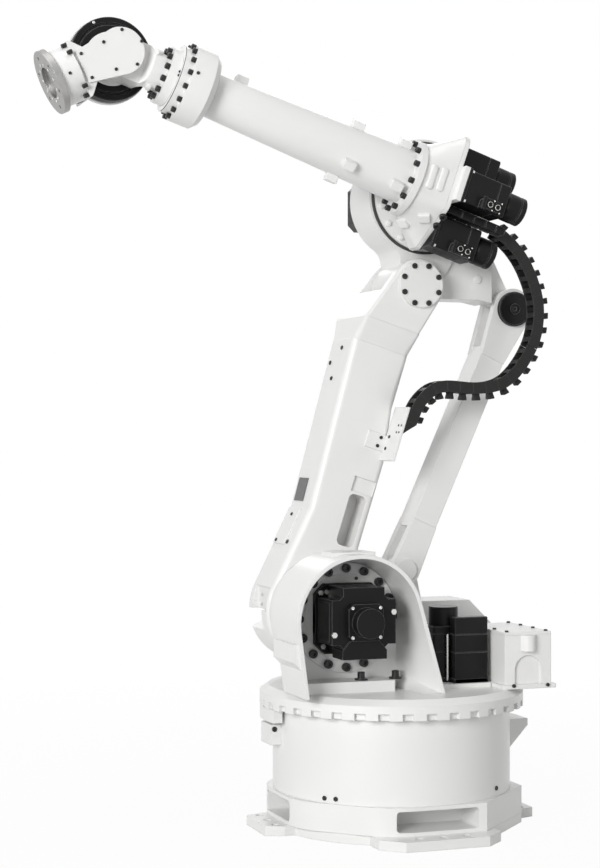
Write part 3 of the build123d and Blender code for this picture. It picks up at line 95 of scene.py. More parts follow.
class Value:
    """A socket of a shader tree whose arithmetic adds Math nodes."""

    def __init__(self, shader: "Shader", socket: bpy.types.NodeSocket) -> None:
        """Wraps one output socket."""
        self.shader = shader
        self.socket = socket

    def _math(self, operation: str, first: Any, second: Any) -> "Value":
        """One Math node on two numbers or sockets."""
        return self.shader.node("ShaderNodeMath", {"operation": operation}, {0: first, 1: second})

    def __add__(self, other: Any) -> "Value":
        """Sum."""
        return self._math("ADD", self, other)

    __radd__ = __add__

    def __sub__(self, other: Any) -> "Value":
        """Difference."""
        return self._math("SUBTRACT", self, other)

    def __rsub__(self, other: Any) -> "Value":
        """Difference with a number on the left."""
        return self._math("SUBTRACT", other, self)

    def __mul__(self, other: Any) -> "Value":
        """Product."""
        return self._math("MULTIPLY", self, other)

    def __truediv__(self, other: Any) -> "Value":
        """Quotient."""
        return self._math("DIVIDE", self, other)

    def clamped(self) -> "Value":
        """This value held between zero and one."""
        return self.shader.node("ShaderNodeClamp", {}, {"Value": self})


class Shader:
    """The node tree of a material or a world, with one method that adds any node."""

    def __init__(self, owner: Any, output: str = "ShaderNodeOutputMaterial") -> None:
        """Empties the owner's tree and adds its output node.

        Args:
            owner: a material or a world.
            output: type name of the output node.
        """
        owner.use_nodes = True
        self.owner = owner
        self.tree = owner.node_tree
        self.tree.nodes.clear()
        self.output = self.tree.nodes.new(output)

    def node(self, kind: str, settings: dict[str, Any], inputs: dict[Any, Any], out: Any = 0) -> Value:
        """Adds a node.

        Args:
            kind: the node's type name.
            settings: attributes that are set first.
            inputs: socket name or number to a number, a colour or a Value.
            out: which output is returned.

        Returns:
            The chosen output.
        """
        made = self.tree.nodes.new(kind)
        for key, setting in settings.items():
            setattr(made, key, setting)
        for key, given in inputs.items():
            if isinstance(given, Value):
                self.tree.links.new(given.socket, made.inputs[key])
            else:
                made.inputs[key].default_value = given
        return Value(self, made.outputs[out])

    def place(self) -> Value:
        """Object coordinates in metres."""
        return self.node("ShaderNodeTexCoord", {}, {}, "Object")

    def vector(self, operation: str, first: Value, second: Any, out: int = 0) -> Value:
        """One Vector Math node on two vectors."""
        return self.node("ShaderNodeVectorMath", {"operation": operation}, {0: first, 1: second}, out)

    def length(self, vector: Value) -> Value:
        """Length of a vector."""
        return self.node("ShaderNodeVectorMath", {"operation": "LENGTH"}, {0: vector}, 1)

    def noise(self, vector: Value, scale: float, detail: float = 2.0) -> Value:
        """Cloudy noise from zero to one."""
        return self.node("ShaderNodeTexNoise", {}, {"Vector": vector, "Scale": scale, "Detail": detail})

    def mixed(self, share: Value, first: Any, second: Any) -> Value:
        """Colour between two colours, each a triple or a Value, by a share."""
        ends = [end if isinstance(end, Value) else (*end, 1.0) for end in (first, second)]
        return self.node("ShaderNodeMix", {"data_type": "RGBA"}, {0: share, 6: ends[0], 7: ends[1]}, 2)

    def edges(self, radius: float) -> tuple[Value, Value]:
        """Softened normal and an edge mask.

        The mask is one less the dot product of the softened and the true normal, so it is zero on flats.
        Finishes paint a lighter shade where it is high, as a highlight.

        Args:
            radius: how far the softening reaches, in metres.

        Returns:
            The softened normal and the mask.
        """
        soft = self.node("ShaderNodeBevel", {"samples": 4}, {"Radius": radius})
        true = self.node("ShaderNodeNewGeometry", {}, {}, "Normal")
        return soft, 1.0 - self.vector("DOT_PRODUCT", soft, true, 1)

    def bumped(self, height: Value, normal: Value) -> Value:
        """The normal tipped by a height in metres."""
        return self.node("ShaderNodeBump", {}, {"Distance": 1.0, "Height": height, "Normal": normal})

    def close(self, shade: Value) -> Any:
        """Links a shader to the output and returns the tree's owner."""
        self.tree.links.new(shade.socket, self.output.inputs["Surface"])
        return self.owner

    def surface(self, inputs: dict[Any, Any]) -> bpy.types.Material:
        """Ends the tree in a Principled shader and returns the material."""
        return self.close(self.node("ShaderNodeBsdfPrincipled", {}, inputs))


@dataclass(frozen=True)
class Finish:
    """A painted, moulded or machined surface.

    The colour drifts between two shades over a broad noise, edges take a third, lighter shade as a painted
    highlight, roughness follows a finer noise, and a bump of fine grain over a slow wave breaks the gloss.
    """

    name: str
    slot: str
    shade: float
    drift: float
    # Lighter shade painted along edges as a highlight.
    edge: float
    roughness: float
    tint: Triple = (1.0, 1.0, 1.0)
    metallic: float = 0.0
    coat: float = 0.0
    coat_roughness: float = 0.25
    cloud_scale: float = 3.5
    cloud_detail: float = 3.0
    cloud_floor: float = 0.3
    cloud_gain: float = 2.2
    patch_scale: float = 60.0
    edge_radius: float = 0.004
    edge_highlight_gain: float = 1.0
    grain_scale: float = 700.0
    grain_depth: float = 0.00012
    wave_scale: float = 14.0
    wave_depth: float = 0.0006
    unevenness: float = 0.10
    specular: float = 0.5

    def tone(self, level: float) -> tuple[float, ...]:
        """The finish's tint at a grey level."""
        return tuple(level * share for share in self.tint)

    def material(self) -> bpy.types.Material:
        """The material, built on first use."""
        return bpy.data.materials.get(self.name) or self.made(Shader(bpy.data.materials.new(self.name)))

    def colour(self, shader: Shader, cloud: Value, edge_highlight_mask: Value) -> Value:
        """Base colour.

        Args:
            shader: the tree.
            cloud: noise that moves the colour between the two shades.
            edge_highlight_mask: where the edges are, which take the lighter shade as a painted highlight.

        Returns:
            The colour.
        """
        share = ((cloud - self.cloud_floor) * self.cloud_gain).clamped()
        body = shader.mixed(share, self.tone(self.shade), self.tone(self.drift))
        # Edges take the lighter edge shade: a painted highlight.
        return shader.mixed((edge_highlight_mask * self.edge_highlight_gain).clamped(), body, self.tone(self.edge))

    def rough(self, noise: Value) -> Value:
        """Roughness that swings to both sides with a noise."""
        return self.roughness + (noise - 0.5) * (2.0 * self.unevenness)

    def made(self, shader: Shader) -> bpy.types.Material:
        """Builds the node tree.

        Args:
            shader: the empty tree.

        Returns:
            The material.
        """
        place = shader.place()
        # Softened normal, and the mask of edges that take the painted highlight shade.
        soft, edge_highlight_mask = shader.edges(self.edge_radius)
        cloud = shader.noise(place, self.cloud_scale, self.cloud_detail)
        grain = shader.noise(place, self.grain_scale) * self.grain_depth
        wave = shader.noise(place, self.wave_scale) * self.wave_depth
        return shader.surface({
            "Base Color": self.colour(shader, cloud, edge_highlight_mask), "Metallic": self.metallic,
            "Roughness": self.rough(shader.noise(place, self.patch_scale)),
            "Coat Weight": self.coat, "Coat Roughness": self.coat_roughness,
            "Specular IOR Level": self.specular, "Normal": shader.bumped(grain + wave, soft)})


@dataclass(frozen=True)
class TurnedSteel(Finish):
    """Machined steel with fine turning rings about an axis.

    The bump and roughness follow a sine of the distance from the axis.
    """

    centre: Triple = (0.0, 0.0, 0.0)
    axis: Triple = X
    ring_pitch: float = 0.0016
    ring_depth: float = 0.00002
    ring_roughness: float = 0.05

    def made(self, shader: Shader) -> bpy.types.Material:
        """Builds the node tree.

        Args:
            shader: the empty tree.

        Returns:
            The material.
        """
        place = shader.place()
        spoke = shader.vector("SUBTRACT", place, self.centre)
        turn = shader.length(shader.vector("CROSS_PRODUCT", spoke, self.axis)) * (math.tau / self.ring_pitch)
        ring = shader.node("ShaderNodeMath", {"operation": "SINE"}, {0: turn})
        cloud = shader.noise(place, self.cloud_scale, self.cloud_detail)
        # Softened normal, and the mask of edges that take the painted highlight shade.
        soft, edge_highlight_mask = shader.edges(self.edge_radius)
        grain = shader.noise(place, self.grain_scale) * self.grain_depth
        return shader.surface({
            "Base Color": self.colour(shader, cloud, edge_highlight_mask), "Metallic": self.metallic,
            "Roughness": self.rough(cloud) + ring * self.ring_roughness,
            "Normal": shader.bumped(ring * self.ring_depth + grain, soft)})


# Each finish's edge shade is lighter than its body shade: a painted highlight along edges.
PALE = Finish("pale_casting", "pale_paint", 0.76, 0.79, 0.86, 0.34, (1.0, 1.0, 0.985), coat=0.15,
              grain_depth=0.00003, wave_depth=0.00015)
BLACK = Finish(
    "satin_black", "black_paint", 0.006, 0.009, 0.24, 0.36, edge_highlight_gain=2.8, edge_radius=0.0026,
    grain_scale=1400.0, wave_depth=0.0002, specular=0.15)
PLATE = Finish("dark_plate", "grey_paint", 0.10, 0.12, 0.2, 0.45)
PLASTIC = Finish(
    "chain_moulding", "chain_plastic", 0.014, 0.019, 0.14, 0.5, (1.0, 1.0, 0.96), edge_highlight_gain=2.0,
    edge_radius=0.0015, grain_scale=1800.0, wave_depth=0.0002, specular=0.2)
RUBBER = Finish("seal_lip", "seal_rubber", 0.030, 0.045, 0.08, 0.6, edge_radius=0.002)
OXIDE = Finish(
    "black_oxide", "black_paint", 0.008, 0.012, 0.16, 0.30, metallic=0.2, edge_highlight_gain=2.2, edge_radius=0.0012,
    grain_scale=2500.0, wave_depth=0.0)
ZINC = Finish(
    "bright_zinc", "flange_steel", 0.62, 0.70, 0.85, 0.28, (1.0, 1.0, 0.97), metallic=1.0, edge_radius=0.0012,
    grain_scale=2500.0, wave_depth=0.0)
STEEL = TurnedSteel(
    "turned_steel", "flange_steel", 0.34, 0.40, 0.58, 0.38, (1.0, 0.99, 0.975), metallic=1.0,
    edge_radius=0.002, cloud_scale=30.0, cloud_detail=4.0,
    centre=tuple(joint_of("tool_turn")["pos_m"]), axis=tuple(joint_of("tool_turn")["axis"]))
SLOT_FINISHES: dict[str, Finish] = {
    finish.slot: finish for finish in (PALE, BLACK, PLATE, PLASTIC, RUBBER, STEEL)}


# Places and surfaces


@dataclass(frozen=True)
class Axes:
    """A place with three square unit directions: along, side and rise."""

    origin: Array
    along: Array
    side: Array
    rise: Array

    @staticmethod
    def at(origin: Iterable[float], along: Iterable[float], side: Iterable[float] = Y) -> "Axes":
        """Axes from a place, a direction and a rough second direction.

        Args:
            origin: the place.
            along: the direction.
            side: the second direction, which is squared to the first.

        Returns:
            The axes.
        """
        forward = unit(along)
        rise = unit(np.cross(forward, np.asarray(list(side), float)))
        return Axes(np.asarray(list(origin), float), forward, np.cross(rise, forward), rise)

    def world(self, points: Any) -> Array:
        """Rows of (along, side, rise) in the part's frame."""
        return self.origin + np.asarray(points, float) @ np.stack([self.along, self.side, self.rise])

    def moved(self, along: float = 0.0, side: float = 0.0, rise: float = 0.0) -> "Axes":
        """The same directions at a shifted place."""
        return Axes(self.world((along, side, rise)), self.along, self.side, self.rise)

    def facing(self, along: Iterable[float], side: Iterable[float]) -> "Axes":
        """Axes at the same place whose directions are given in these axes."""
        basis = np.stack([self.along, self.side, self.rise])
        return Axes.at(self.origin, np.asarray(list(along)) @ basis, np.asarray(list(side)) @ basis)


@dataclass
class Shell:
    """A mesh as arrays: vertices, then faces of four and of three corners."""

    points: Array
    quads: Array
    tris: Array

    @staticmethod
    def joined(shells: Sequence["Shell"]) -> "Shell":
        """Several shells as one.

        Args:
            shells: in one frame.

        Returns:
            The joined shell.
        """
        starts = np.cumsum([0] + [len(shell.points) for shell in shells[:-1]])
        return Shell(
            np.concatenate([shell.points for shell in shells]),
            np.concatenate([shell.quads + start for shell, start in zip(shells, starts)]),
            np.concatenate([shell.tris + start for shell, start in zip(shells, starts)]))

    def copies(self, places: Sequence[Axes]) -> "Shell":
        """The shell repeated at each place.

        Args:
            places: where its local rows are laid.

        Returns:
            The joined copies.
        """
        points = np.concatenate([place.world(self.points) for place in places])
        steps = (np.arange(len(places)) * len(self.points))[:, None, None]
        return Shell(points, (self.quads + steps).reshape(-1, 4), (self.tris + steps).reshape(-1, 3))

    def piece(self, name: str, finish: Finish, body: str | None) -> bpy.types.Object:
        """Makes the shell an object.

        Args:
            name: the piece's name.
            finish: the finish that covers it, with its record slot.
            body: the body it rides on, or None, which leaves it on no body.

        Returns:
            The new object.
        """
        mesh = bpy.data.meshes.new(name)
        mesh.vertices.add(len(self.points))
        mesh.vertices.foreach_set("co", self.points.astype(np.float32).ravel())
        corners = np.concatenate([self.quads.ravel(), self.tris.ravel()]).astype(np.int32)
        totals = np.concatenate([np.full(len(self.quads), 4), np.full(len(self.tris), 3)]).astype(np.int32)
        mesh.loops.add(len(corners))
        mesh.loops.foreach_set("vertex_index", corners)
        mesh.polygons.add(len(totals))
        mesh.polygons.foreach_set("loop_start", (np.cumsum(totals) - totals).astype(np.int32))
        mesh.polygons.foreach_set("loop_total", totals)
        mesh.polygons.foreach_set("use_smooth", np.ones(len(totals), bool))
        mesh.update(calc_edges=True)
        mesh.validate()
        mesh.set_sharp_from_angle(angle=SHARP_ANGLE)
        mesh.materials.append(finish.material())
        made = bpy.data.objects.new(name, mesh)
        bpy.context.scene.collection.objects.link(made)
        if body:
            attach(made, body)
        LOG.info("%s: %d points on %s", name, len(self.points), body or "a blend")
        return made


def skin(rings: Array) -> Shell:
    """Closed shell over a grid of rings.

    Neighbouring rings are joined by quads, and the first and last rings are closed by fans to their middles.

    Args:
        rings: (rows, corners, 3), each ring turning anticlockwise about the direction the rows run.

    Returns:
        The shell.
    """
    rows, count = rings.shape[:2]
    ring = np.arange(count)
    after = (ring + 1) % count
    base = (np.arange(rows - 1) * count)[:, None]
    corners = [base + ring, base + after, base + count + after, base + count + ring]
    quads = np.stack(corners, axis=-1).reshape(-1, 4)
    low, high = rows * count, rows * count + 1
    last = (rows - 1) * count
    floor = np.stack([np.full(count, low), after, ring], axis=-1)
    roof = np.stack([np.full(count, high), last + ring, last + after], axis=-1)
    middles = np.stack([rings[0].mean(0), rings[-1].mean(0)])
    points = np.concatenate([rings.reshape(-1, 3), middles])
    return Shell(points, quads, np.concatenate([floor, roof]))


def round_angles(sides: int) -> Array:
    """Even angles round a circle."""
    return np.arange(sides) * (math.tau / sides)


def wheel(pairs: Sequence[tuple[float, float]], sides: int) -> Array:
    """Circles about the local along axis.

    Each (height, radius) pair becomes a circle: along = height, side = r cos a, rise = r sin a.

    Args:
        pairs: heights and radii, in order along the surface.
        sides: corners of each circle.

    Returns:
        (pairs, sides, 3) in local rows.
    """
    angles = round_angles(sides)
    height, radius = np.asarray(pairs, float).T[..., None]
    return np.stack([height + 0.0 * angles, radius * np.cos(angles), radius * np.sin(angles)], axis=-1)


def turned(profile: Sequence[tuple[float, float]], sides: int = 48) -> Shell:
    """Solid turned body of circles, in local rows."""
    return skin(wheel(profile, sides))


def lathe(loop: Sequence[tuple[float, float]], sides: int = 96) -> Shell:
    """Ring about the local along axis.

    The circles of a closed loop are joined by quads, the last one to the first.

    Args:
        loop: (height, radius) pairs in order, up the outside and down the inside.
        sides: corners of each circle.

    Returns:
        The shell in local rows.
    """
    row, ring = np.arange(len(loop))[:, None], np.arange(sides)
    base, after = row * sides, (ring + 1) % sides
    ahead = (row + 1) % len(loop) * sides
    quads = np.stack([base + ring, base + after, ahead + after, ahead + ring], axis=-1).reshape(-1, 4)
    return Shell(wheel(loop, sides).reshape(-1, 3), quads, np.empty((0, 3), int))


def tower(sections: Sequence[Section], steps: int = 4) -> Shell:
    """Body of rounded rectangles along the local along axis.

    Each (height, half side, half rise, corner) gives a ring: a quarter circle at each of four corner centres.

    Args:
        sections: heights and sizes in order.
        steps: spans in each corner.

    Returns:
        The shell in local rows.
    """
    table = np.asarray(sections, float)
    quarter = np.linspace(0.0, math.pi / 2, steps + 1)
    angles = np.concatenate([quarter + math.pi / 2 * turn for turn in range(4)])
    signs = np.repeat([(1, 1), (-1, 1), (-1, -1), (1, -1)], steps + 1, axis=0)
    height, side, rise, corner = (table[:, i, None] for i in range(4))
    across = signs[:, 0] * (side - corner) + corner * np.cos(angles)
    upward = signs[:, 1] * (rise - corner) + corner * np.sin(angles)
    return skin(np.stack([height + 0.0 * across, across, upward], axis=-1))


def slab(outline: Sequence[tuple[float, float]], low: float, high: float, bevel: float) -> Shell:
    """Plate with a bevelled edge.

    A convex outline in (side, rise) is carried from low to high, and is drawn in by the bevel at both faces.

    Args:
        outline: corners, anticlockwise about the along axis.
        low: height of the lower face.
        high: height of the upper face.
        bevel: width of the bevel.

    Returns:
        The shell in local rows.
    """
    corners = np.asarray(outline, float)
    before = corners - np.roll(corners, 1, axis=0)
    ahead = np.roll(corners, -1, axis=0) - corners
    normal_in = np.stack([-before[:, 1], before[:, 0]], axis=-1) / np.linalg.norm(before, axis=1)[:, None]
    normal_out = np.stack([-ahead[:, 1], ahead[:, 0]], axis=-1) / np.linalg.norm(ahead, axis=1)[:, None]
    mitre = normal_in + normal_out
    mitre /= np.maximum((mitre * normal_in).sum(1), MITRE_LIMIT)[:, None]
    rows = [(low, bevel), (low + bevel, 0.0), (high - bevel, 0.0), (high, bevel)]
    rings = [np.column_stack([np.full(len(corners), h), corners + mitre * inset]) for h, inset in rows]
    return skin(np.stack(rings))


class Head(Enum):
    """Kinds of screw head."""

    SOCKET = "socket"
    HEX = "hex"
    CAP = "cap"
    WASHER = "washer"


@dataclass(frozen=True)
class Fastener:
    """A screw head on the local along axis.

    Rows of circles and hexagons: a hexagon's radius is its flat's distance over the cosine of the angle from
    the middle of the flat. The other sizes are shares of the radius.
    """

    head: Head
    radius: float
    height: float
    sides: int = 24
    edge: float = 0.10
    key: float = 0.58
    key_floor: float = 0.56
    hex_top: float = 0.86
    washer: float = 1.75
    dome: Pairs = ((0.0, 1.0), (0.6, 1.0), (0.9, 0.9), (1.0, 0.7))

    def rows(self) -> list[tuple[float, float, bool]]:
        """Rows of the head.

        Returns:
            Height, share of the radius and whether the row is a hexagon, from the seat up.
        """
        height = self.height
        rim = height - self.edge * self.radius
        crown = [(rim, 1.0, False), (height, 1.0 - self.edge, False), (height, self.key, True)]
        if self.head is Head.SOCKET:
            return [(0.0, 1.0, False), *crown, (height * 0.35, self.key_floor, True)]
        if self.head is Head.HEX:
            return [(0.0, 1.0, True), (rim, 1.0, True), (height, self.hex_top, False)]
        if self.head is Head.CAP:
            return [(height * rise, share, False) for rise, share in self.dome]
        return [(0.0, self.washer, False), (height * 0.2, self.washer, False), (height * 0.22, 1.0, False),
                *crown, (height * 0.5, self.key_floor, True)]

    def shell(self) -> Shell:
        """The head.

        Returns:
            The shell in local rows, standing on its seat at zero.
        """
        angles = round_angles(self.sides)
        flat = math.cos(math.pi / 6) / np.cos((angles % (math.pi / 3)) - math.pi / 6)
        spokes = np.stack([np.cos(angles), np.sin(angles)], axis=-1) * self.radius
        shapes = (np.ones((self.sides, 1)), flat[:, None])
        rings = [np.column_stack([np.full(self.sides, z), spokes * share * shapes[hexagon]])
                 for z, share, hexagon in self.rows()]
        return skin(np.stack(rings))


@dataclass(frozen=True)
class Ring:
    """Screw heads on a circle round the along axis, the first at an angle in degrees from side to rise."""

    size: HeadSize
    circle: float
    count: int = 1
    start: float = 0.0
    seat: float = 0.0
    head: Head = Head.SOCKET

    def places(self, axes: Axes) -> list[Axes]:
        """A place for each head.

        Args:
            axes: the circle's centre and direction; the seat is measured along it.

        Returns:
            The places, facing along.
        """
        angles = round_angles(self.count) + math.radians(self.start)
        spots = zip(self.circle * np.cos(angles), self.circle * np.sin(angles))
        return [axes.moved(self.seat, float(side), float(rise)) for side, rise in spots]


@dataclass(frozen=True)
class Marks:
    """Screw heads on a node at spots of the picture, which are (across, down) in pixels."""

    size: HeadSize
    node: str
    spots: Pairs
    head: Head = Head.SOCKET


def spread(axes: Axes, spots: Iterable[tuple[float, float]]) -> list[Axes]:
    """Places at (side, rise) spots on the plane of the axes."""
    return [axes.moved(0.0, side, rise) for side, rise in spots]


@dataclass
class Skeleton:
    """The joint centres and directions that every sub-assembly hangs on."""

    shoulder: Array = field(init=False)
    elbow: Array = field(init=False)
    turn: Array = field(init=False)
    bend: Array = field(init=False)
    link_top: Array = field(init=False)

    def __post_init__(self) -> None:
        """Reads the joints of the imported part."""
        self.shoulder, self.elbow, self.turn, self.bend, self.link_top = (
            np.array(joint_of(name)["pos_m"], float)
            for name in ("shoulder_lean", "elbow_level", "forearm_pitch", "wrist_bend_turn", "link_swing"))

    def forearm(self) -> Axes:
        """Along the forearm from the turning axis; rise points up."""
        return Axes.at(self.turn, joint_of("wrist_roll_turn")["axis"])

    def tool(self) -> Axes:
        """Along the tool axis from the bend axis; rise points up."""
        return Axes.at(self.bend, joint_of("tool_turn")["axis"])

    def face(self, centre: Sequence[float], y: float, way: Triple, side: Triple = X) -> Axes:
        """Axes that look across the arm.

        Args:
            centre: the joint centre.
            y: where the face lies along Y.
            way: to the near side or the far side.
            side: the second direction.

        Returns:
            The axes.
        """
        return Axes.at((centre[0], y, centre[2]), way, side)

    def near(self, centre: Sequence[float], y: float) -> Axes:
        """Axes that look to the near side, with side to the rear and rise up."""
        return self.face(centre, y, Y, BACK)


BONES = Skeleton()


def high(node: str, axis: int) -> float:
    """Upper side of a node's box."""
    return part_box(node)[1][axis]


def low(node: str, axis: int) -> float:
    """Lower side of a node's box."""
    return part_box(node)[0][axis]

# Sub-assemblies


@dataclass(frozen=True)
class Sight:
    """The photograph's view, which also finds where a spot of the picture lies on a node."""

    eye: Triple = (2.366, 5.814, 1.275)
    gaze: Triple = (-0.3322, -0.9432, 0.0)
    focal: float = 1900.0
    width: float = 600.0
    height: float = 868.0
    level: float = 0.9

    def ray(self, across: float, down: float) -> Array:
        """Direction through a spot of the picture.

        The gaze is turned by the spot's offset from the middle of the picture over the focal length.

        Args:
            across: pixels from the left.
            down: pixels from the top.

        Returns:
            The direction at length one.
        """
        ahead, upright = unit(self.gaze), np.array(Z)
        right = np.cross(ahead, upright) * (across - self.width / 2)
        return unit(ahead + (right + upright * (self.height / 2 - down)) / self.focal)

    def spots(self, node: str, *places: tuple[float, float]) -> list[Axes]:
        """Where picture spots lie on a node.

        Args:
            node: the node that carries the spots.
            places: (across, down) in pixels of the photograph.

        Returns:
            A place on the node's surface for each, facing along its normal.
        """
        tree = BVHTree.FromObject(frame["nodes"][node], bpy.context.evaluated_depsgraph_get())
        found = []
        for across, down in places:
            hit, normal, _, _ = tree.ray_cast(Vector(self.eye), Vector(self.ray(across, down)))
            if hit is None:
                raise ValueError(f"{node} doesn't show at {across}, {down}")
            found.append(Axes.at(hit, normal, Z if abs(normal.z) < self.level else X))
        return found


SIGHT = Sight()


@dataclass
class Trim:
    """Shells of one finish on one body, joined into one piece."""

    name: str
    body: str
    finish: Finish = OXIDE
    shells: list[Shell] = field(default_factory=list)

    def add(self, shell: Shell, *places: Axes) -> "Trim":
        """Adds a copy of a local shell at each place."""
        self.shells.append(shell.copies(places))
        return self

    def screws(self, size: HeadSize, places: Sequence[Axes], head: Head = Head.SOCKET) -> "Trim":
        """Adds a screw head of a radius and height at each place."""
        return self.add(Fastener(head, *size).shell(), *places)

    def ring(self, ring: Ring, axes: Axes, kept: int | None = None) -> "Trim":
        """Adds a ring of heads, or only the first few of it."""
        return self.screws(ring.size, ring.places(axes)[:kept], ring.head)

    def marked(self, marks: Marks) -> "Trim":
        """Adds a head at each picture spot."""
        return self.screws(marks.size, SIGHT.spots(marks.node, *marks.spots), marks.head)

    def build(self, *nodes: str) -> bpy.types.Object:
        """Makes the piece.

        Args:
            nodes: plain nodes that it takes the place of, if any.

        Returns:
            The new object.
        """
        made = Shell.joined(self.shells).piece(self.name, self.finish, self.body)
        if nodes:
            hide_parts(*nodes)
        return made


def oblong(side: float, rise: float) -> list[tuple[float, float]]:
    """Corners of a rectangle of those half sizes, anticlockwise."""
    return [(side, -rise), (side, rise), (-side, rise), (-side, -rise)]


def clipped(half: float, cut: float) -> list[tuple[float, float]]:
    """Square with its corners cut off.

    Args:
        half: half width of the square.
        cut: length taken off each side at a corner.

    Returns:
        The eight corners, anticlockwise.
    """
    near = half - cut
    return [(half, -near), (half, near), (near, half), (-near, half),
            (-half, near), (-half, -near), (-near, -half), (near, -half)]


def hoop(low_end: float, high_end: float, inner: float, outer: float, taper: float = 0.0) -> Shell:
    """Plain ring about the local along axis.

    Args:
        low_end: height of the lower face.
        high_end: height of the upper face.
        inner: radius of the hole at the upper face.
        outer: radius of the outside at the lower face.
        taper: how much smaller the hole is at the lower face, and the outside at the upper face.

    Returns:
        The shell in local rows.
    """
    return lathe([(low_end, outer), (high_end, outer - taper), (high_end, inner), (low_end, inner - taper)])


def seamed(length: float, side: float, rise: float, corner: float, seams: Sequence[float] = (),
           gap: float = 0.002) -> Shell:
    """Box with seams round it.

    A tower that draws in by the gap at both ends, and dips by the gap across each seam.

    Args:
        length: along the axis.
        side: half width.
        rise: half height.
        corner: radius of the four long edges.
        seams: where the seams are along the axis.
        gap: depth and half width of a seam.

    Returns:
        The shell in local rows.
    """
    rows = [(0.0, gap), (gap, 0.0)]
    for seam in seams:
        rows += [(seam - gap, 0.0), (seam - gap / 2, gap), (seam + gap / 2, gap), (seam + gap, 0.0)]
    rows += [(length - gap, 0.0), (length, gap)]
    return tower([(height, side - dip, rise - dip, corner) for height, dip in rows])


@dataclass
class Shoulder:
    """The motor bay of the swivel: gear flange, motor and the ledge under it."""

    flange: Ring = Ring((0.0140, 0.013), 0.159, 16)
    plug: Ring = Ring((0.0055, 0.004), 0.130, 1, 74.0)
    lip: Section = (-0.001, 0.0016, 0.1395, 0.1435)
    plate_half: float = 0.112
    plate_cut: float = 0.032
    plate_depth: float = 0.0243
    plate_bevel: float = 0.0015
    motor_screw: HeadSize = (0.0090, 0.011)
    motor_spots: Pairs = ((-0.096, 0.084), (-0.076, 0.086), (0.088, 0.087), (-0.088, -0.087), (0.088, -0.087))
    body_screw: HeadSize = (0.0100, 0.011)
    body_spots: Pairs = ((0.097, 0.030), (-0.101, -0.037))
    encoder_screw: HeadSize = (0.0055, 0.005)
    encoder_half: float = 0.046
    encoder_depth: float = 0.020
    pad_half: tuple[float, float] = (0.052, 0.062)
    pad_ends: tuple[float, float] = (-0.002, 0.0018)
    pad_bevel: float = 0.0012
    pad_y: float = 0.211
    pad_sunk: float = 0.005
    ledge_screw: HeadSize = (0.012, 0.026)
    ledge_top: float = 0.491
    ledge_spots: Pairs = ((0.170, 0.165), (0.052, 0.165))

    def build(self) -> None:
        """Makes the screws, the motor flange and the lip round it."""
        face = BONES.near(BONES.shoulder, high("shoulder_gear_flange", 1))
        Trim("gear_flange_bolts", "swivel").ring(self.flange, face).ring(self.plug, face).build()
        Trim("gear_flange_lip", "swivel", PALE).add(hoop(*self.lip), face).build()
        plate = slab(clipped(self.plate_half, self.plate_cut), 0.0, self.plate_depth, self.plate_bevel)
        body = BONES.near(BONES.shoulder, low("shoulder_motor_encoder", 1))
        side = Axes.at((high("shoulder_motor", 0) - self.pad_sunk, self.pad_y, BONES.shoulder[2]), X)
        Trim("motor_flange", "swivel", BLACK).add(plate, face).add(
            slab(oblong(*self.pad_half), *self.pad_ends, self.pad_bevel), side).build()
        Trim("motor_bolts", "swivel", ZINC).screws(
            self.motor_screw, spread(face.moved(self.plate_depth), self.motor_spots), Head.HEX).screws(
            self.body_screw, spread(body, self.body_spots), Head.HEX).screws(
            self.encoder_screw,
            spread(body.moved(self.encoder_depth), oblong(self.encoder_half, self.encoder_half))).build()
        top = Axes.at((0.0, 0.0, self.ledge_top), Z, X)
        Trim("ledge_bolts", "swivel").screws(
            self.ledge_screw, spread(top, self.ledge_spots), Head.WASHER).build()


@dataclass
class SwivelMotor:
    """The upright motor behind the bay, in sections, with its terminal housing."""

    seams: tuple[float, ...] = (0.099, 0.157)
    flange: float = 0.014
    flange_corner: float = 0.006
    inset: float = 0.004
    corner: float = 0.010
    box_length: float = 0.116
    box_corner: float = 0.003
    rod_radius: float = 0.005
    rod_length: float = 0.150
    rod_sides: int = 16
    rod_lift: float = 0.006
    rod_gap: float = 0.010

    def build(self) -> None:
        """Makes the motor in place of its plain node, and its tie rod."""
        motor, encoder = "swivel_motor", "swivel_motor_encoder"
        floor, roof = low(motor, 2), low(encoder, 2)
        middle = [(low(encoder, axis) + high(encoder, axis)) / 2 for axis in (0, 1)]
        half = high(motor, 0) - middle[0]
        inner = half - self.inset
        up = Axes.at((*middle, floor), Z, X)
        near, far = high(motor, 1), middle[1] + half
        rear, front = low(motor, 0), low(motor, 0) + self.box_length
        box = Axes.at(((rear + front) / 2, (near + far) / 2, floor), Z, X)
        wide, deep = (front - rear) / 2, (near - far) / 2
        Trim("swivel_motor_body", "swivel", BLACK).add(
            seamed(self.flange, half, half, self.flange_corner), up).add(
            seamed(roof - floor, inner, inner, self.corner, self.seams), up).add(
            seamed(self.flange, wide + self.inset, deep, self.box_corner), box).add(
            seamed(high(motor, 2) - floor, wide, deep, self.box_corner, self.seams), box).build(motor)
        rod = turned([(0.0, self.rod_radius), (self.rod_length, self.rod_radius)], self.rod_sides)
        Trim("swivel_motor_rod", "swivel", ZINC).add(
            rod, up.moved(self.rod_lift, front - middle[0] + self.rod_gap, half + self.rod_radius)).build()


@dataclass
class ConnectionBox:
    """Screws of the connection box and its plate."""

    inset: float = 0.013
    rows: int = 4
    wall: Marks = Marks((0.0062, 0.005), "connection_box", ((513.7, 685.9), (547.5, 684.5)))

    def build(self) -> None:
        """Makes the screws, in two rows along the lid and two on the wall."""
        lid, reach = "connection_box_lid", self.inset
        top = Axes.at((0.0, 0.0, high(lid, 2)), Z, X)
        rows = np.linspace(low(lid, 1) + reach, high(lid, 1) - reach, self.rows)
        spots = [(x, y) for x in (low(lid, 0) + reach, high(lid, 0) - reach) for y in rows]
        Trim("box_screws", "swivel").screws(self.wall.size, spread(top, spots)).marked(self.wall).build()


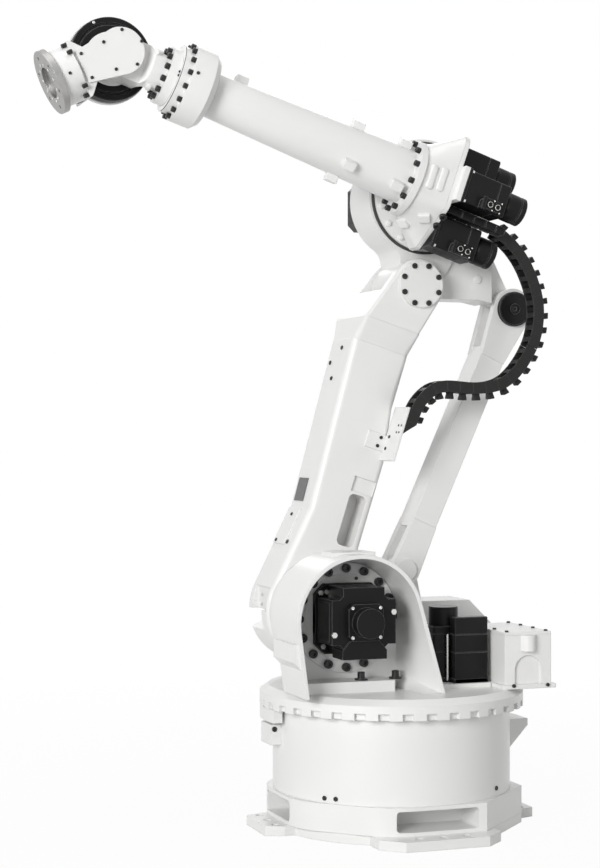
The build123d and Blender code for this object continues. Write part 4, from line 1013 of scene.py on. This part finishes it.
@dataclass
class LowerArm:
    """Screws on the lower arm, its covers and the chain bracket."""

    front: tuple[Marks, ...] = (
        Marks((0.0075, 0.004), "lower_arm_casting", (
            (342.2, 347.7), (330.5, 362.8), (331.6, 378.3), (287.6, 541.8))),
        Marks((0.0060, 0.004), "front_cover", ((276.3, 539.6), (292.0, 514.0))),
        Marks((0.0058, 0.003), "chain_anchor_arm", (
            (381.0, 437.6), (389.5, 436.8), (377.4, 445.7), (385.5, 448.6))),
        Marks((0.0036, 0.002), "chain_anchor_arm", (
            (398.8, 425.3), (401.6, 425.3), (396.5, 432.3), (399.0, 432.3))))
    toe: Marks = Marks((0.0060, 0.004), "lower_arm_casting", ((262.9, 594.5), (262.4, 603.9)))

    def build(self) -> None:
        """Makes the screws."""
        screws = Trim("arm_front_screws", "lower_arm")
        for marks in self.front:
            screws.marked(marks)
        screws.build()
        Trim("arm_toe_screws", "lower_arm", ZINC).marked(self.toe).build()


@dataclass
class Elbow:
    """Elbow cover screws, turntable caps and the pins of the rear link."""

    cover: Ring = Ring((0.0095, 0.005), 0.067, 8, 22.5)
    table: Ring = Ring((0.0105, 0.008), 0.166, 16, 11.25, 0.018, Head.CAP)
    plug: Marks = Marks((0.0140, 0.006), "elbow_casting", ((477.5, 279.4),), Head.CAP)
    drive: Ring = Ring((0.0095, 0.009), 0.124, 12, 60.0)
    drive_face: float = -0.352
    drive_free: int = 9
    pin_hoops: tuple[tuple[float, float, float, float, float], ...] = (
        (-0.001, 0.002, 0.054, 0.059, 0.0005), (-0.001, 0.0045, 0.0165, 0.0200, 0.0010))
    pin_screw: HeadSize = (0.0120, 0.003)

    def build(self) -> None:
        """Makes the screws and the pin heads."""
        for node, y, way in (("elbow_cover_near", high("elbow_cover_near", 1), Y),
                             ("elbow_cover_far", low("elbow_cover_far", 1), FAR)):
            Trim(f"{node}_bolts", "lower_arm").ring(self.cover, BONES.face(BONES.elbow, y, way)).build()
        rim = BONES.near(BONES.turn, low("forearm_turntable", 1))
        Trim("turntable_caps", "forearm", PALE).ring(self.table, rim).build()
        flange = BONES.face(BONES.turn, self.drive_face, FAR)
        Trim("drive_flange_bolts", "elbow").ring(self.drive, flange, self.drive_free).build()
        Trim("elbow_plug", "elbow", PALE).marked(self.plug).build()
        pin = Trim("link_pin_heads", "rear_link", BLACK)
        for y, way in ((high("link_pin_discs", 1), Y), (low("link_pin_discs", 1), FAR)):
            face = BONES.face(BONES.link_top, y, way)
            for sizes in self.pin_hoops:
                pin.add(hoop(*sizes), face)
            pin.screws(self.pin_screw, [face])
        pin.build()


@dataclass
class WristMotors:
    """The three wrist motors behind the gearcase, with their encoders and connectors.

    The encoder and connector profiles are in metres from the motor's end and from the connector's seat.
    """

    half: float = 0.059
    length: float = 0.162
    inset: float = 0.004
    corner: float = 0.009
    seam: float = 0.122
    flange: float = 0.012
    flange_corner: float = 0.007
    flange_screw: HeadSize = (0.0058, 0.007)
    encoder: Pairs = (
        (-0.002, 0.040), (0.004, 0.042), (0.012, 0.0455), (0.016, 0.048), (0.052, 0.048), (0.054, 0.0465),
        (0.058, 0.0465), (0.060, 0.048), (0.075, 0.048), (0.078, 0.044))
    places: tuple[Triple, ...] = ((-0.004, -0.0436, 0.123), (-0.022, 0.076, 0.022), (-0.004, -0.013, -0.131))
    wired: tuple[int, ...] = (1, 2)
    plug_along: float = 0.105
    plug_rise: float = 0.036
    plug_outline: Pairs = (
        (0.036, -0.018), (0.036, 0.022), (-0.026, 0.022), (-0.038, 0.008), (-0.038, -0.018))
    plug_ends: tuple[float, float] = (-0.004, 0.018)
    plug_bevel: float = 0.003
    clip_place: Triple = (0.016, -0.030, 0.0)
    clip_size: Section = (0.008, 0.007, 0.022, 0.001)
    socket: Pairs = (
        (0.0, 0.0098), (0.009, 0.0098), (0.010, 0.0092), (0.010, 0.0082), (0.004, 0.0078), (0.0, 0.0078))
    socket_seat: float = 0.017
    socket_sides: tuple[float, ...] = (-0.009, 0.019)
    socket_corners: int = 24
    pin_screw: HeadSize = (0.0026, 0.002)
    pin_seat: float = 0.0178
    pin_spots: Pairs = ((0.004, -0.015), (0.032, -0.015), (0.004, 0.018), (0.032, 0.018))
    bracket: Triple = (-0.004, -0.005, -0.040)
    bracket_size: Section = (0.250, 0.004, 0.015, 0.001)
    bracket_gap: float = 0.001
    duct: Triple = (-0.014, 0.026, -0.0545)
    duct_size: Section = (0.226, 0.027, 0.0125, 0.002)
    duct_seams: tuple[float, ...] = (0.060, 0.105, 0.150, 0.190)
    duct_gap: float = 0.003

    def body(self) -> Shell:
        """Motor and encoder.

        Returns:
            The shell in local rows: along points back, side to the near side and rise down.
        """
        half, inner = self.half, self.half - self.inset
        return Shell.joined([
            seamed(self.flange, half, half, self.flange_corner),
            seamed(self.length, inner, inner, self.corner, (self.seam,)),
            turned([(self.length + step, radius) for step, radius in self.encoder])])

    def plug(self) -> Shell:
        """Connector block with its clip, in local rows facing out of the motor's near side."""
        clip = seamed(*self.clip_size).copies([Axes.at(self.clip_place, X)])
        return Shell.joined([slab(self.plug_outline, *self.plug_ends, self.plug_bevel), clip])

    def sockets(self) -> Shell:
        """The two round connectors of a block, as rings in its local rows."""
        seats = [Axes.at((self.socket_seat, side, 0.0), X) for side in self.socket_sides]
        return lathe(self.socket, self.socket_corners).copies(seats)

    def build(self) -> None:
        """Makes the motors in place of their plain nodes, and the chain's bracket with its duct."""
        forearm = BONES.forearm()
        motors = Trim("wrist_motors", "forearm", BLACK)
        screws = Trim("wrist_motor_screws", "forearm", ZINC)
        corner = self.half - self.corner
        for number, place in enumerate(self.places):
            back = forearm.moved(*place).facing(BACK, Y)
            motors.add(self.body(), back)
            screws.screws(self.flange_screw, spread(back.moved(self.flange), oblong(corner, corner)))
            if number in self.wired:
                near = back.moved(self.plug_along, self.half - self.inset, self.plug_rise).facing(Y, X)
                motors.add(self.plug(), near)
                screws.add(self.sockets(), near)
                screws.screws(self.pin_screw, spread(near.moved(self.pin_seat), self.pin_spots))
        motors.build(*(f"wrist_{kind}_{place}" for kind in ("motor", "encoder")
                       for place in ("top", "middle", "low")))
        screws.build()
        Trim("chain_bracket", "forearm", BLACK).add(
            seamed(*self.duct_size, self.duct_seams, self.duct_gap),
            forearm.moved(*self.duct).facing(BACK, Y)).add(
            seamed(*self.bracket_size, gap=self.bracket_gap),
            forearm.moved(*self.bracket).facing(BACK, Y)).build("chain_anchor_forearm")


@dataclass
class Gearcase:
    """Cast bosses and big screws on the rear casting of the forearm."""

    big: Marks = Marks((0.0125, 0.010), "motor_plate", ((443.0, 216.3), (436.7, 225.2)))
    pads: Pairs = ((424.2, 217.6), (403.5, 222.7))
    pad_size: Section = (0.016, 0.016, 0.020, 0.003)
    pad_sunk: float = 0.006
    ribs: tuple[Triple, ...] = ((0.090, 0.112, 0.006), (0.052, 0.108, 0.012))
    rib: Sections = (
        (-0.012, 0.046, 0.020, 0.010), (0.006, 0.040, 0.012, 0.010), (0.0085, 0.034, 0.008, 0.007))

    def build(self) -> None:
        """Makes the bosses and screws."""
        Trim("gearcase_screws", "forearm").marked(self.big).build()
        pads = [spot.moved(-self.pad_sunk) for spot in SIGHT.spots("forearm_gearcase", *self.pads)]
        ribs = [BONES.forearm().moved(*spot).facing(Y, Z) for spot in self.ribs]
        Trim("gearcase_bosses", "forearm", PALE).add(
            seamed(*self.pad_size), *pads).add(tower(self.rib), *ribs).build()


@dataclass
class ForearmTube:
    """Bolt rings of the forearm and the dark seam in front of them."""

    flange: Ring = Ring((0.0100, 0.016), 0.113, 12, 15.0, 0.145)
    front: Ring = Ring((0.0088, 0.014), 0.118, 16, 5.0, 0.952)
    plugs: Marks = Marks((0.0055, 0.003), "forearm_front_ring", ((198.2, 73.0),))
    seam_seat: float = 0.985
    seam: Section = (-0.0022, 0.0, 0.107, 0.1102)

    def build(self) -> None:
        """Makes the bolt rings and the seam."""
        axes = BONES.forearm()
        Trim("tube_flange_bolts", "forearm").ring(self.flange, axes).build()
        Trim("front_ring_bolts", "forearm").ring(self.front, axes).marked(self.plugs).build()
        Trim("wrist_seam", "forearm", RUBBER).add(hoop(*self.seam), axes.moved(self.seam_seat)).build()


@dataclass
class Wrist:
    """Screws of the rolling flange, the side cover and the tool housing, and the stepped black ring."""

    roll: Ring = Ring((0.0100, 0.015), 0.077, 12, 8.0, 1.018)
    neck: Marks = Marks((0.0040, 0.003), "wrist_neck", ((179.7, 71.6), (178.6, 75.3)))
    neck_blocks: Pairs = ((159.3, 53.5), (148.5, 86.4))
    neck_block: Section = (0.016, 0.008, 0.012, 0.002)
    neck_block_sunk: float = 0.006
    cover: Marks = Marks((0.0052, 0.004), "wrist_side_cover", (
        (121.8, 29.6), (141.6, 41.2), (137.2, 64.2), (116.1, 69.2), (92.0, 77.6), (81.0, 53.6),
        (103.5, 42.0)))
    housing: Marks = Marks((0.0050, 0.004), "wrist_flange_housing", ((69.9, 73.0),))
    block_screw: HeadSize = (0.0070, 0.016)
    block_face: float = 0.150
    block_spots: Pairs = ((0.050, 0.083), (0.081, 0.056))
    back: Ring = Ring((0.0075, 0.005), 0.122, 8, 22.5)
    notch: Ring = Ring((0.0045, 0.0012), 0.125, 1, 117.0, head=Head.CAP)
    inserts: Ring = Ring((0.0050, 0.0015), 0.060, 11, 0.0, 0.236, Head.CAP)
    ring: Pairs = (
        (-0.040, 0.133), (-0.016, 0.133), (-0.0145, 0.1315), (-0.0125, 0.1315), (-0.011, 0.133),
        (-0.002, 0.133), (0.0, 0.131), (0.0, 0.116), (-0.006, 0.113), (-0.006, 0.108), (0.0, 0.106),
        (0.0, 0.086), (-0.040, 0.086))
    ring_corners: int = 128

    def build(self) -> None:
        """Makes the screws and the ring."""
        tool = BONES.tool()
        Trim("roll_flange_bolts", "wrist_roll").ring(self.roll, BONES.forearm()).marked(self.neck).build()
        spots = [spot for pair in self.block_spots for spot in oblong(*pair)]
        Trim("wrist_screws", "wrist_bend").marked(self.cover).marked(self.housing).screws(
            self.block_screw, spread(tool.moved(self.block_face), spots)).build()
        Trim("tool_inserts", "tool", ZINC).ring(self.inserts, tool).build()
        blocks = [spot.moved(-self.neck_block_sunk) for spot in SIGHT.spots("wrist_neck", *self.neck_blocks)]
        Trim("neck_blocks", "wrist_roll", PALE).add(seamed(*self.neck_block), *blocks).build()
        back = BONES.face(BONES.bend, low("wrist_fork", 1), FAR)
        Trim("wrist_back_bolts", "wrist_bend").ring(self.back, back).build()
        near = BONES.near(BONES.bend, high("wrist_ring", 1))
        Trim("wrist_ring_notch", "wrist_bend", ZINC).ring(self.notch, near).build()
        Trim("wrist_ring_stepped", "wrist_bend", BLACK).add(
            lathe(self.ring, self.ring_corners), near).build("wrist_ring")


@dataclass
class Base:
    """Screws on the drum and the stop."""

    drum: Marks = Marks((0.0075, 0.004), "base_drum", ((324.7, 798.1), (335.9, 799.1), (496.1, 788.1)))
    stop: Marks = Marks((0.0085, 0.004), "base_stop_block", ((274.4, 729.2),))

    def build(self) -> None:
        """Makes the screws."""
        Trim("drum_screws", "base").marked(self.drum).marked(self.stop).build()


@dataclass
class CableChain:
    """Cable chain in two halves that meet on the elbow.

    Route points are in arm lengths from the elbow, forward and up. Two side walls follow a NURBS line through
    the route, with a shallow groove at each link joint, and every link adds an inner bar, a back and a flared
    stub. Rows of the wall are shares of a link and of the groove, and those of the stub rise from the wall.
    """

    y: float = -0.040
    half_width: float = 0.031
    half_depth: float = 0.0195
    pitch: float = 0.046
    wall: float = 0.007
    wall_rows: Pairs = (
        (0.0, 1.0), (0.03, 1.0), (0.05, 0.0), (0.35, 0.0), (0.65, 0.0), (0.95, 0.0), (0.97, 1.0))
    wall_cut: float = 0.0015
    groove: float = 0.0007
    taper: float = 0.045
    thinnest: float = 0.06
    span: float = 1.145
    order: int = 3
    fineness: int = 16
    reach: float = 0.004
    edge: float = 0.001
    bar: tuple[float, float] = (0.0085, 0.003)
    bar_sunk: float = 0.005
    back_share: float = 0.47
    back_rise: float = 0.002
    back_sunk: float = 0.004
    stub: Sections = (
        (-0.005, 0.0080, 0.0150, 0.002), (0.007, 0.0078, 0.0150, 0.002), (0.012, 0.0092, 0.0155, 0.002),
        (0.021, 0.0104, 0.0160, 0.002), (0.022, 0.0095, 0.0152, 0.002))
    lower: Pairs = (
        (0.070, -0.445), (0.045, -0.368), (0.003, -0.317), (-0.044, -0.296), (-0.141, -0.307),
        (-0.228, -0.297), (-0.277, -0.261), (-0.316, -0.210), (-0.331, -0.180))
    upper: Pairs = (
        (-0.3312, -0.1796), (-0.346, -0.150), (-0.355, -0.075), (-0.346, -0.016), (-0.320, 0.049),
        (-0.286, 0.101), (-0.240, 0.143), (-0.215, 0.158))

    def corners(self, shares: Pairs) -> Array:
        """Route points in metres."""
        flat = np.asarray(shares) * self.span + BONES.elbow[[0, 2]]
        return np.stack([flat[:, 0], np.full(len(flat), self.y), flat[:, 1]], axis=-1)

    def line(self, shares: Pairs) -> Array:
        """Points of a NURBS spline whose control points are the route's.

        Args:
            shares: the route.

        Returns:
            (points, 3) in the part's frame.
        """
        corners = self.corners(shares)
        curve = bpy.data.curves.new("chain_route", "CURVE")
        curve.dimensions = "3D"
        spline = curve.splines.new("NURBS")
        spline.points.add(len(corners) - 1)
        spline.points.foreach_set("co", np.column_stack([corners, np.ones(len(corners))]).ravel())
        spline.order_u = self.order
        spline.use_endpoint_u = True
        spline.resolution_u = self.fineness
        holder = bpy.data.objects.new("chain_route", curve)
        mesh = bpy.data.meshes.new_from_object(holder)
        flat = np.empty(len(mesh.vertices) * 3)
        mesh.vertices.foreach_get("co", flat)
        bpy.data.objects.remove(holder)
        bpy.data.curves.remove(curve)
        bpy.data.meshes.remove(mesh)
        return flat.reshape(-1, 3)

    def along(self, line: Array, places: Array) -> tuple[Array, Array]:
        """Points and directions along a line.

        A direction is the step from a little before the place to a little after it.

        Args:
            line: points of the route.
            places: distances along it.

        Returns:
            The points, and the directions at length one.
        """
        steps = np.concatenate([[0.0], np.cumsum(np.linalg.norm(np.diff(line, axis=0), axis=1))])
        before, spots, after = (
            np.stack([np.interp(places + shift, steps, line[:, i]) for i in range(3)], axis=-1)
            for shift in (-self.reach, 0.0, self.reach))
        runs = after - before
        return spots, runs / np.linalg.norm(runs, axis=1)[:, None]

    def wall_shell(
            self, line: Array, pitch: float, count: int, inner: float, outer: float, taper: float) -> Shell:
        """One side wall.

        A rectangle with cut corners is carried along the line: at each link joint it draws in by the groove,
        and over the taper at the start its outer edge rises from the inner edge.

        Args:
            line: points of the route.
            pitch: length of a link.
            count: how many links.
            inner: lower side across the chain.
            outer: upper side across the chain.
            taper: length of the tapered start, or zero.

        Returns:
            The shell in the part's frame.
        """
        shares, dips = np.asarray(self.wall_rows).T
        places = ((np.arange(count)[:, None] + shares) * pitch).ravel()
        dip = np.tile(dips * self.groove, count)[:, None]
        spots, runs = self.along(line, places)
        outward = np.stack([-runs[:, 2], np.zeros(len(runs)), runs[:, 0]], axis=-1)
        depth, cut = self.half_depth, self.wall_cut
        full = np.clip(places / taper, self.thinnest, 1.0) if taper else np.ones(len(places))
        roof = (2.0 * full - 1.0)[:, None] * depth
        floor = np.full_like(roof, -depth)
        heights = [floor + cut, roof - cut, roof, roof, roof - cut, floor + cut, floor, floor]
        lift = np.concatenate(heights, axis=1)
        lift[:, 1:5] = np.maximum(lift[:, 1:5], floor + cut)
        top, foot = outer - dip, inner + dip
        across = np.concatenate([top, top, top - cut, foot + cut, foot, foot, foot + cut, top - cut], axis=1)
        rings = spots[:, None] + outward[:, None] * lift[..., None]
        rings[..., 1] += across
        return skin(rings)

    def link(self, pitch: float) -> Shell:
        """Inner bar, back and stub of a link.

        Args:
            pitch: length of the link.

        Returns:
            The shell in local rows: along the route, across and outwards.
        """
        depth, width = self.half_depth, self.half_width - self.wall / 2
        across = Axes.at((0.0, 0.0, 0.0), Y, X)
        sizes = ((*self.bar, depth - self.bar_sunk),
                 (pitch * self.back_share, self.back_rise, self.back_sunk - depth))
        bars = [seamed(2 * width, side, rise, self.edge, gap=self.edge).copies([across.moved(-width, 0.0, z)])
                for side, rise, z in sizes]
        stub = tower([(depth + height, *sizes) for height, *sizes in self.stub])
        return Shell.joined([*bars, stub.copies([Axes.at((0.0, 0.0, 0.0), Z, X)])])

    def half(self, shares: Pairs, name: str, taper: float) -> bpy.types.Object:
        """One half of the chain, not yet tied to bodies.

        Args:
            shares: its route.
            name: the piece's name.
            taper: length of its tapered start, or zero.

        Returns:
            The new object.
        """
        line = self.line(shares)
        length = float(np.linalg.norm(np.diff(line, axis=0), axis=1).sum())
        count = int(round(length / self.pitch))
        pitch = length / count
        width = self.half_width
        walls = [self.wall_shell(line, pitch, count, inner, outer, taper)
                 for inner, outer in ((width - self.wall, width), (-width, self.wall - width))]
        middles, runs = self.along(line, (np.arange(count) + 0.5) * pitch)
        places = [Axes.at(middle, run) for middle, run in zip(middles, runs)]
        places = places[1:] if taper else places
        return Shell.joined([*walls, self.link(pitch).copies(places)]).piece(name, PLASTIC, None)

    def build(self) -> None:
        """Makes both halves in place of their plain nodes."""
        for name, node, shares, bodies, taper in (
                ("chain_links_lower", "cable_chain_lower", self.lower, ("lower_arm", "elbow"), self.taper),
                ("chain_links_upper", "cable_chain_upper", self.upper, ("elbow", "forearm"), 0.0)):
            made = self.half(shares, name, taper)
            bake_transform(made)
            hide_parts(node)


@dataclass
class Studio:
    """Floor, world, lamps and camera."""

    sensor: float = 36.0
    sight_end: float = 100.0
    white: Section = (1.0, 1.0, 1.0, 1.0)
    world_strength: float = 0.29
    floor_reach: float = 60.0
    floor_drop: float = 0.0005
    floor_shade: float = 0.64
    shadow_share: float = 0.05
    shadow_reach: float = 4.0
    aim: Triple = (0.1, 0.0, 0.7)
    lamps: tuple[tuple[str, Triple, float, float], ...] = (
        ("key", (8.1, 7.1, 3.4), 4.1, 920.0), ("fill", (-4.5, 4.2, 1.6), 3.0, 42.0),
        ("top", (0.3, 0.6, 7.6), 4.5, 118.0), ("rim", (-1.5, -6.5, 4.8), 4.0, 105.0))

    def turned_to(self, made: bpy.types.Object, place: Sequence[float], ahead: Vector) -> None:
        """Puts an object in the scene.

        Args:
            made: a camera or a lamp.
            place: where it stands.
            ahead: where it looks.
        """
        made.location = place
        made.rotation_euler = ahead.to_track_quat("-Z", "Y").to_euler()
        bpy.context.scene.collection.objects.link(made)

    def camera(self) -> None:
        """Camera at the photograph's viewing angle."""
        lens = bpy.data.cameras.new("camera")
        lens.sensor_fit = "VERTICAL"
        lens.sensor_height = self.sensor
        lens.lens = SIGHT.focal / SIGHT.height * self.sensor
        lens.clip_end = self.sight_end
        camera = bpy.data.objects.new("camera", lens)
        self.turned_to(camera, SIGHT.eye, Vector(SIGHT.gaze))
        bpy.context.scene.camera = camera

    def light(self) -> None:
        """Soft square lamps round the part."""
        for name, place, size, power in self.lamps:
            light = bpy.data.lights.new(name, "AREA")
            light.size = size
            light.energy = power
            self.turned_to(bpy.data.objects.new(name, light), place, Vector(self.aim) - Vector(place))

    def seen(self, shader: Shader) -> Value:
        """Mask of the rays that see the backdrop.

        Args:
            shader: the tree that needs it.

        Returns:
            One for rays from the camera and for reflections and refractions, else zero.
        """
        camera, gloss, glass = (shader.node("ShaderNodeLightPath", {}, {}, f"Is {kind} Ray")
                                for kind in ("Camera", "Glossy", "Transmission"))
        return (camera + gloss + glass).clamped()

    def world(self) -> None:
        """White for the camera, gloss and glass, and a soft grey light for everything else."""
        world = bpy.data.worlds.new("studio")
        bpy.context.scene.world = world
        shader = Shader(world, "ShaderNodeOutputWorld")
        soft, bright = (shader.node("ShaderNodeBackground", {}, {"Color": self.white, "Strength": strength})
                        for strength in (self.world_strength, 1.0))
        shader.close(shader.node("ShaderNodeMixShader", {}, {0: self.seen(shader), 1: soft, 2: bright}))

    def floor_material(self) -> bpy.types.Material:
        """Matt floor that is white to the eye but for a faint shadow, which fades with the distance.

        Returns:
            The material.
        """
        shader = Shader(bpy.data.materials.new("pale_floor"))
        fade = (1.0 - shader.length(shader.place()) / self.shadow_reach).clamped()
        matt = shader.node("ShaderNodeBsdfDiffuse", {}, {"Color": (*[self.floor_shade] * 3, 1.0)})
        glow = shader.node("ShaderNodeEmission", {}, {"Color": self.white, "Strength": 1.0})
        share = self.seen(shader) * (1.0 - fade * self.shadow_share)
        return shader.close(shader.node("ShaderNodeMixShader", {}, {0: share, 1: matt, 2: glow}))

    def floor(self) -> None:
        """Wide square floor under the feet."""
        mesh = bpy.data.meshes.new("floor")
        corners = [(x, y, 0.0) for x, y in oblong(self.floor_reach, self.floor_reach)]
        mesh.from_pydata(corners, [], [(0, 1, 2, 3)])
        mesh.materials.append(self.floor_material())
        floor = bpy.data.objects.new("floor", mesh)
        floor.location.z = -self.floor_drop
        bpy.context.scene.collection.objects.link(floor)

    def build(self) -> None:
        """Sets the whole studio."""
        bpy.context.scene.view_settings.view_transform = "Standard"
        self.camera()
        self.world()
        self.floor()
        self.light()


def dress_nodes() -> None:
    """Gives every CAD node the finish of its record slot."""
    for part in frame["record"]["subparts"]:
        made = frame["nodes"][part["node"]]
        made.data.materials.clear()
        made.data.materials.append(SLOT_FINISHES[part["material_slot"]].material())


def main() -> None:
    """Builds the studio and every sub-assembly."""
    logging.basicConfig(level=logging.INFO)
    Studio().build()
    dress_nodes()
    for part in (Base(), Shoulder(), SwivelMotor(), ConnectionBox(), LowerArm(), Elbow(), Gearcase(),
                 WristMotors(), ForearmTube(), Wrist(), CableChain()):
        part.build()


if __name__ == "__main__":
    main()
